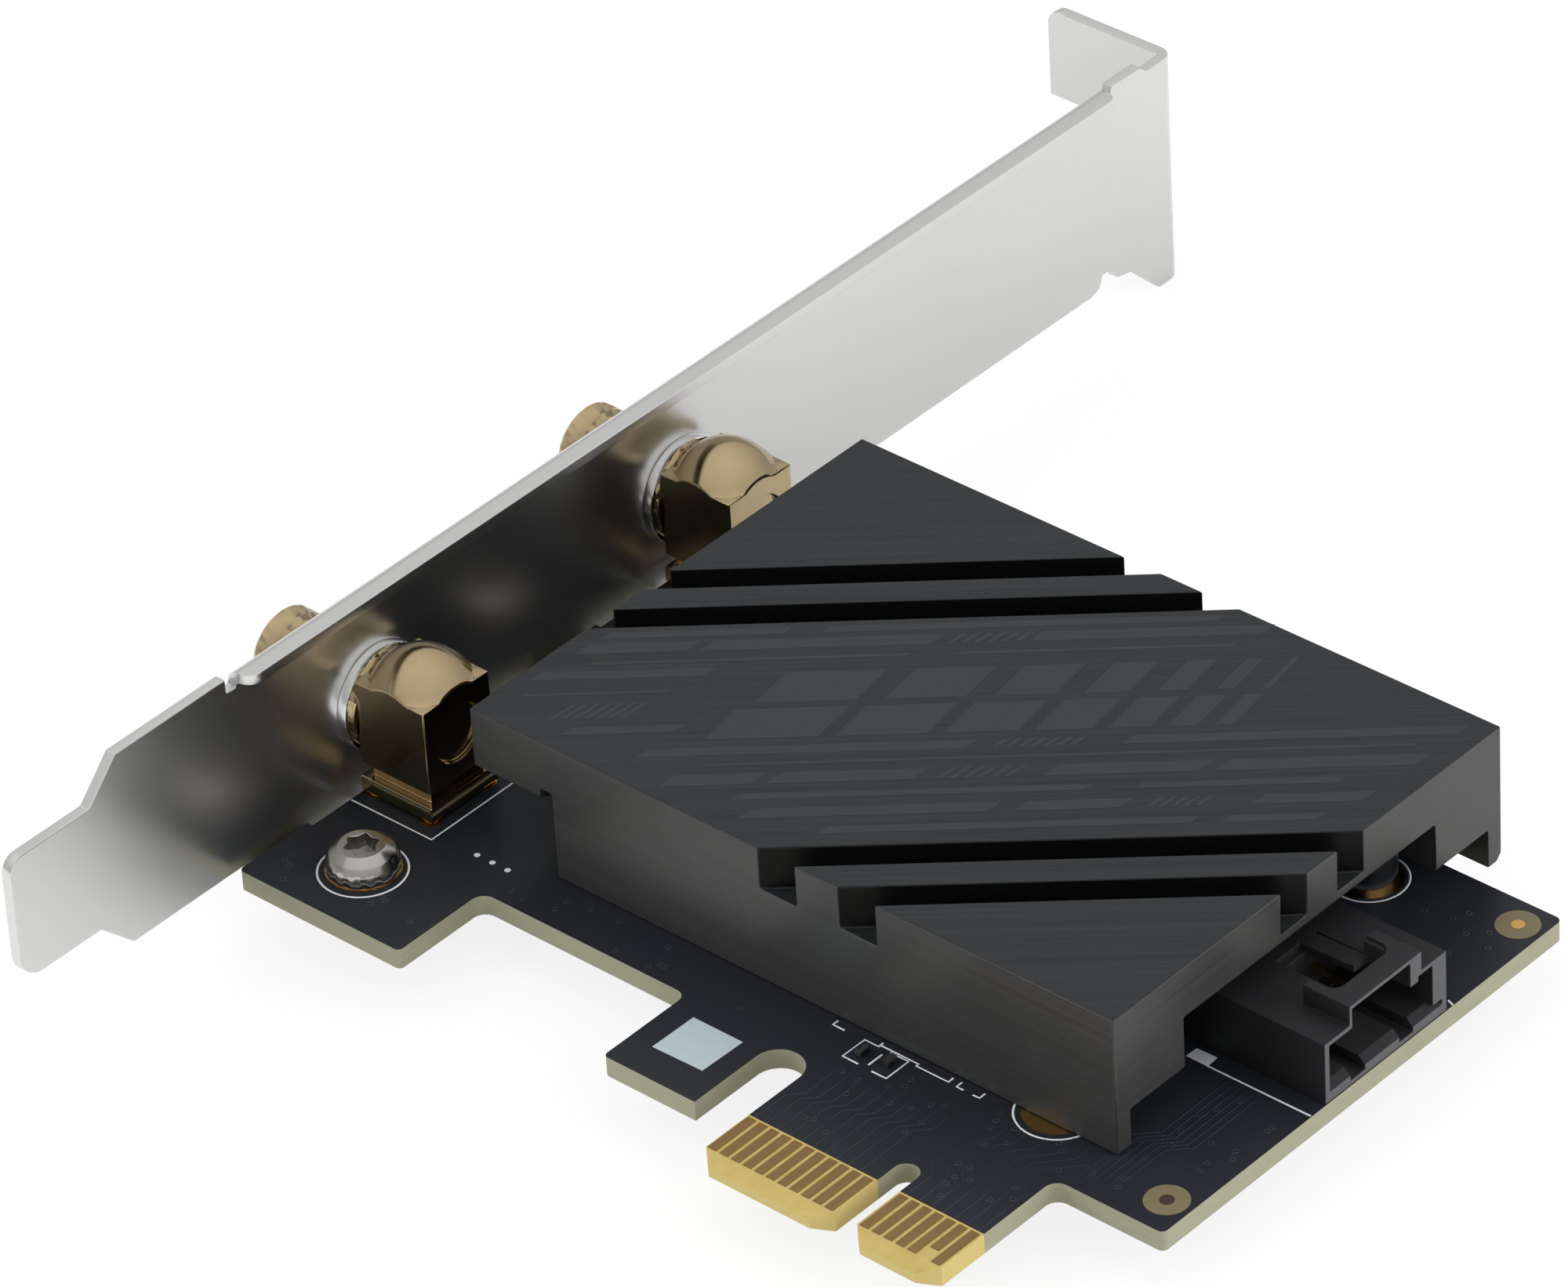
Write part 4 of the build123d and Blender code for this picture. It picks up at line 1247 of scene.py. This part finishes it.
@dataclass
class Ports:
    """Two antenna ports: bodies with cut threads, rings, washers and nuts."""

    bench: Bench
    axis_z: float = 6.735
    barrel_r: float = 3.17
    barrel_start: float = -56.7
    thread_root: float = 0.925
    thread_end: float = -65.5
    pitch: float = 0.7056
    turns: int = 6
    thread_angle: float = 20.0
    edge: float = 0.12
    ring_edge: float = 0.08
    nut_edge: float = 0.06
    sharp: float = 32.0
    cube_top: float = 10.085
    cube_left: float = -56.3
    dome_r: float = 3.55
    crown: float = 2.1
    pocket_r: float = 2.2
    pocket_floor: float = -50.79
    pocket_lift: float = 0.5
    near: float = 0.02

    def build(self) -> None:
        """Finish both ports."""
        for number, y in enumerate(PORT_YS, start=1):
            prefix = f"connector_{number}_"
            body = self.bench.twin(prefix + "body")
            self.form(body, y)
            self.bench.mark(body, self.sharp, lambda first, second: self.outer(first, second, y))
            self.bench.soften(body, self.edge, 3, True)
            self.thread(body, y)
            self.bench.seat(body, "brass", Slot.BRASS, prefix + "body")
            ring = self.bench.twin(prefix + "ring", self.ring_edge)
            self.bench.seat(ring, "nickel", Slot.NICKEL, prefix + "ring")
            nut = self.bench.twin(prefix + "nut", self.nut_edge)
            self.bench.seat(nut, "nickel", Slot.NICKEL, prefix + "nut")
            self.bench.dress_all({
                prefix + "lock_washer": "nickel",
                prefix + "insulator": "insulator",
                prefix + "pin": "pin_gold",
            })

    def form(self, body: bpy.types.Object, y: float) -> None:
        """Raise the dome and bring the pocket's floor forward.

        Args:
            body: the port's body.
            y: its place along Y, in millimetres.
        """
        self.bench.choose(body, lambda point: point.z / MM > self.cube_top + self.near)
        bpy.ops.transform.resize(value=(1.0, 1.0, self.crown),
                                 center_override=(0.0, 0.0, self.cube_top * MM))
        self.bench.clear()
        self.bench.choose(body, lambda point: abs(point.x / MM - self.pocket_floor) < self.near
                          and self.off_axis(point, y) < self.pocket_r + 5 * self.near)
        bpy.ops.transform.translate(value=(self.pocket_lift * MM, 0.0, 0.0))
        self.bench.clear()

    def outer(self, first: Vector, second: Vector, y: float) -> bool:
        """Whether an edge is one of the cube's and base's own, and not the dome's foot.

        Args:
            first: one end, in metres.
            second: the other end, in metres.
            y: the port's place along Y, in millimetres.

        Returns:
            True where the edge is rounded.
        """
        ends = (first, second)
        clear = min(end.x / MM for end in ends) > self.cube_left + 5 * self.near
        return clear and not all(self.on_foot(end, y) for end in ends)

    def on_foot(self, point: Vector, y: float) -> bool:
        """Whether a corner lies on the circle where the dome meets the cube.

        Args:
            point: the corner, in metres.
            y: the port's place along Y, in millimetres.

        Returns:
            True on the circle.
        """
        r = math.hypot(point.x / MM - PORT_X, point.y / MM - y)
        return abs(point.z / MM - self.cube_top) < 0.03 and abs(r - self.dome_r) < 4 * self.near

    def off_axis(self, point: Vector, y: float) -> float:
        """How far a corner lies from the barrel's axis.

        Args:
            point: the corner, in metres.
            y: the port's place along Y, in millimetres.

        Returns:
            The distance in millimetres.
        """
        return math.hypot(point.y / MM - y, point.z / MM - self.axis_z)

    def on_barrel(self, point: Vector, y: float) -> bool:
        """Whether a corner lies on the barrel's outside.

        Args:
            point: the corner, in metres.
            y: the port's place along Y, in millimetres.

        Returns:
            True on the barrel.
        """
        off = abs(self.off_axis(point, y) - self.barrel_r)
        return off < self.near and point.x / MM < self.barrel_start

    def thread(self, body: bpy.types.Object, y: float) -> None:
        """Cut ring after ring into the barrel as a fine thread.

        Args:
            body: the port's body.
            y: its place along Y, in millimetres.
        """
        self.bench.pick(body)
        stations = [self.thread_end + self.pitch * (i + 0.5) / 2 for i in range(2 * self.turns)]
        for station in stations:
            for polygon in body.data.polygons:
                corners = [body.data.vertices[i].co for i in polygon.vertices]
                polygon.select = all(self.on_barrel(corner, y) for corner in corners)
            bpy.ops.object.mode_set(mode="EDIT")
            bpy.ops.mesh.select_mode(type="FACE")
            bpy.ops.mesh.bisect(plane_co=(station * MM, 0.0, 0.0), plane_no=(1.0, 0.0, 0.0))
            bpy.ops.mesh.select_all(action="DESELECT")
            bpy.ops.object.mode_set(mode="OBJECT")
        roots = stations[1::2]
        for vertex in body.data.vertices:
            at_root = any(abs(vertex.co.x / MM - root) < self.near / 2 for root in roots)
            vertex.select = at_root and self.on_barrel(vertex.co, y)
        bpy.ops.object.mode_set(mode="EDIT")
        bpy.ops.mesh.select_mode(type="VERT")
        bpy.ops.transform.resize(value=(1.0, self.thread_root, self.thread_root),
                                 center_override=(0.0, y * MM, self.axis_z * MM))
        bpy.ops.mesh.select_all(action="DESELECT")
        bpy.ops.object.mode_set(mode="OBJECT")
        self.bench.smooth(body, self.thread_angle)


@dataclass
class Header:
    """Side-entry accessory header."""

    bench: Bench
    edge: float = 0.045
    near: float = 0.05
    tail: float = 2.85

    def build(self) -> None:
        """Finish the housing, drawn out under the slab, and its pins."""
        back = self.bench.box("header_housing")[0].x
        housing = self.bench.twin("header_housing")
        self.bench.choose(housing, lambda point: point.x / MM < back + self.near)
        bpy.ops.transform.translate(value=(-self.tail * MM, 0.0, 0.0))
        self.bench.clear()
        self.bench.soften(housing, self.edge)
        self.bench.smooth(housing)
        self.bench.seat(housing, "housing", Slot.HOUSING, "header_housing")
        self.bench.dress("header_pins", "pin_gold")


@dataclass
class SmallParts:
    """Module, chip parts and solder under and beside the slab."""

    bench: Bench

    def build(self) -> None:
        """Dress each node."""
        self.bench.dress_all({
            "module_board": "module",
            "module_shield": "tin",
            "thermal_pad": "gap",
            "coupling_capacitors": "dull_solder",
            "bypass_capacitors": "ceramic",
            "resistors": "epoxy",
            "power_inductor": "ferrite",
            "regulator_chip": "epoxy",
            "crystal_can": "tin",
            "solder_joints": "solder",
        })


@dataclass(frozen=True)
class Lamp:
    """One soft square lamp, which glossy faces don't show."""

    name: str
    place: Point3
    size: float
    power: float

    def build(self, aim: Point3) -> None:
        """Hang the lamp.

        Args:
            aim: the point that it faces, in metres.
        """
        data = bpy.data.lights.new(self.name, "AREA")
        data.shape = "SQUARE"
        data.size = self.size
        data.energy = self.power
        lamp = bpy.data.objects.new(self.name, data)
        lamp.location = self.place
        lamp.rotation_euler = (Vector(aim) - Vector(self.place)).to_track_quat("-Z", "Y").to_euler()
        lamp.visible_glossy = False
        bpy.context.scene.collection.objects.link(lamp)


@dataclass
class Studio:
    """Floor, lights and camera."""

    bench: Bench
    floor_z: float = -4.2
    floor_size: float = 4.0
    floor_low: Colour = (0.86, 0.86, 0.86)
    floor_high: Colour = (0.87, 0.87, 0.87)
    floor_white: float = 0.85
    world_levels: Point2 = (0.5, 1.05)
    lamps: tuple[Lamp, ...] = (
        Lamp("overhead", (-0.15, 0.25, 0.75), 1.2, 1.3),
        Lamp("left_card", (-0.55, -0.55, 0.35), 0.9, 5.0),
        Lamp("right_card", (0.75, 0.30, 0.30), 0.8, 6.5),
    )
    lit: Point3 = (-0.02, 0.035, 0.0)
    pixels: Point2 = (2000.0, 1642.0)
    focal: float = 12089.6
    centre: Point2 = (999.7, 820.4)
    sensor: float = 36.0
    clip: Point2 = (0.01, 20.0)
    eye: Point3 = (322.68, -343.19, 381.88)
    aim: Point3 = (-45.72, 47.14, 0.0)
    roll: float = -3.516

    def build(self) -> None:
        """Set the whole studio up."""
        self.floor()
        self.world()
        for lamp in self.lamps:
            lamp.build(self.lit)
        self.camera()
        bpy.context.scene.view_settings.view_transform = "Standard"

    def floor(self) -> None:
        """Plain pale floor that keeps a soft shadow."""
        self.bench.clear()
        bpy.ops.mesh.primitive_plane_add(size=self.floor_size, location=(0.0, 0.0, self.floor_z * MM))
        floor = bpy.context.object
        floor.name = "floor"
        sheet = Sheet("floor_paper")
        fine = sheet.noise(sheet.place(), 300.0, 2.0)
        sheet.link("Base Color", sheet.blend(fine, self.floor_low, self.floor_high))
        sheet.set(Roughness=0.9, Specular_IOR_Level=0.0)
        paper = Wire(sheet, sheet.shader.outputs[0])
        white = sheet.node("ShaderNodeEmission", {}, {})
        sheet.finish("Material Output", sheet.white_to_camera(paper, white, self.floor_white))
        floor.data.materials.append(sheet.material)

    def world(self) -> None:
        """Soft surround, brighter overhead, and white where the camera sees it."""
        world = bpy.data.worlds.new("surround")
        bpy.context.scene.world = world
        world.use_nodes = True
        graph = Graph(world.node_tree)
        _, _, up = graph.axes(graph.node("ShaderNodeTexCoord", {}, {}, "Generated"))
        light = {"Color": (1.0, 1.0, 1.0, 1.0), "Strength": graph.ramp(up, (0.0, 1.0), self.world_levels)}
        surround = graph.node("ShaderNodeBackground", {}, light)
        white = graph.node("ShaderNodeBackground", {}, {"Color": (1.0, 1.0, 1.0, 1.0), "Strength": 1.0})
        graph.finish("World Output", graph.white_to_camera(surround, white))

    def camera(self) -> None:
        """Camera at the photograph's own place and angle."""
        data = bpy.data.cameras.new("view")
        camera = bpy.data.objects.new("view", data)
        bpy.context.scene.collection.objects.link(camera)
        width, height = self.pixels
        data.sensor_fit = "HORIZONTAL"
        data.sensor_width = self.sensor
        data.lens = self.focal / width * self.sensor
        data.shift_x = (width / 2 - self.centre[0]) / width
        data.shift_y = (self.centre[1] - height / 2) / width
        data.clip_start, data.clip_end = self.clip
        sight = (Vector(self.aim) - Vector(self.eye)).to_track_quat("-Z", "Y").to_matrix().to_4x4()
        turn = Matrix.Rotation(math.radians(self.roll), 4, "Z")
        camera.matrix_world = Matrix.Translation(Vector(self.eye) * MM) @ sight @ turn
        bpy.context.scene.camera = camera


def main() -> None:
    """Build every sub-assembly in order."""
    logging.basicConfig(level=logging.INFO, format="%(message)s")
    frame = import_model()
    bench = Bench(frame, Paints())
    for assembly in (BoardPrint(bench), Bracket(bench), Sink(bench), Ports(bench), Header(bench),
                     SmallParts(bench), Studio(bench)):
        assembly.build()
    bench.clear()


if __name__ == "__main__":
    main()
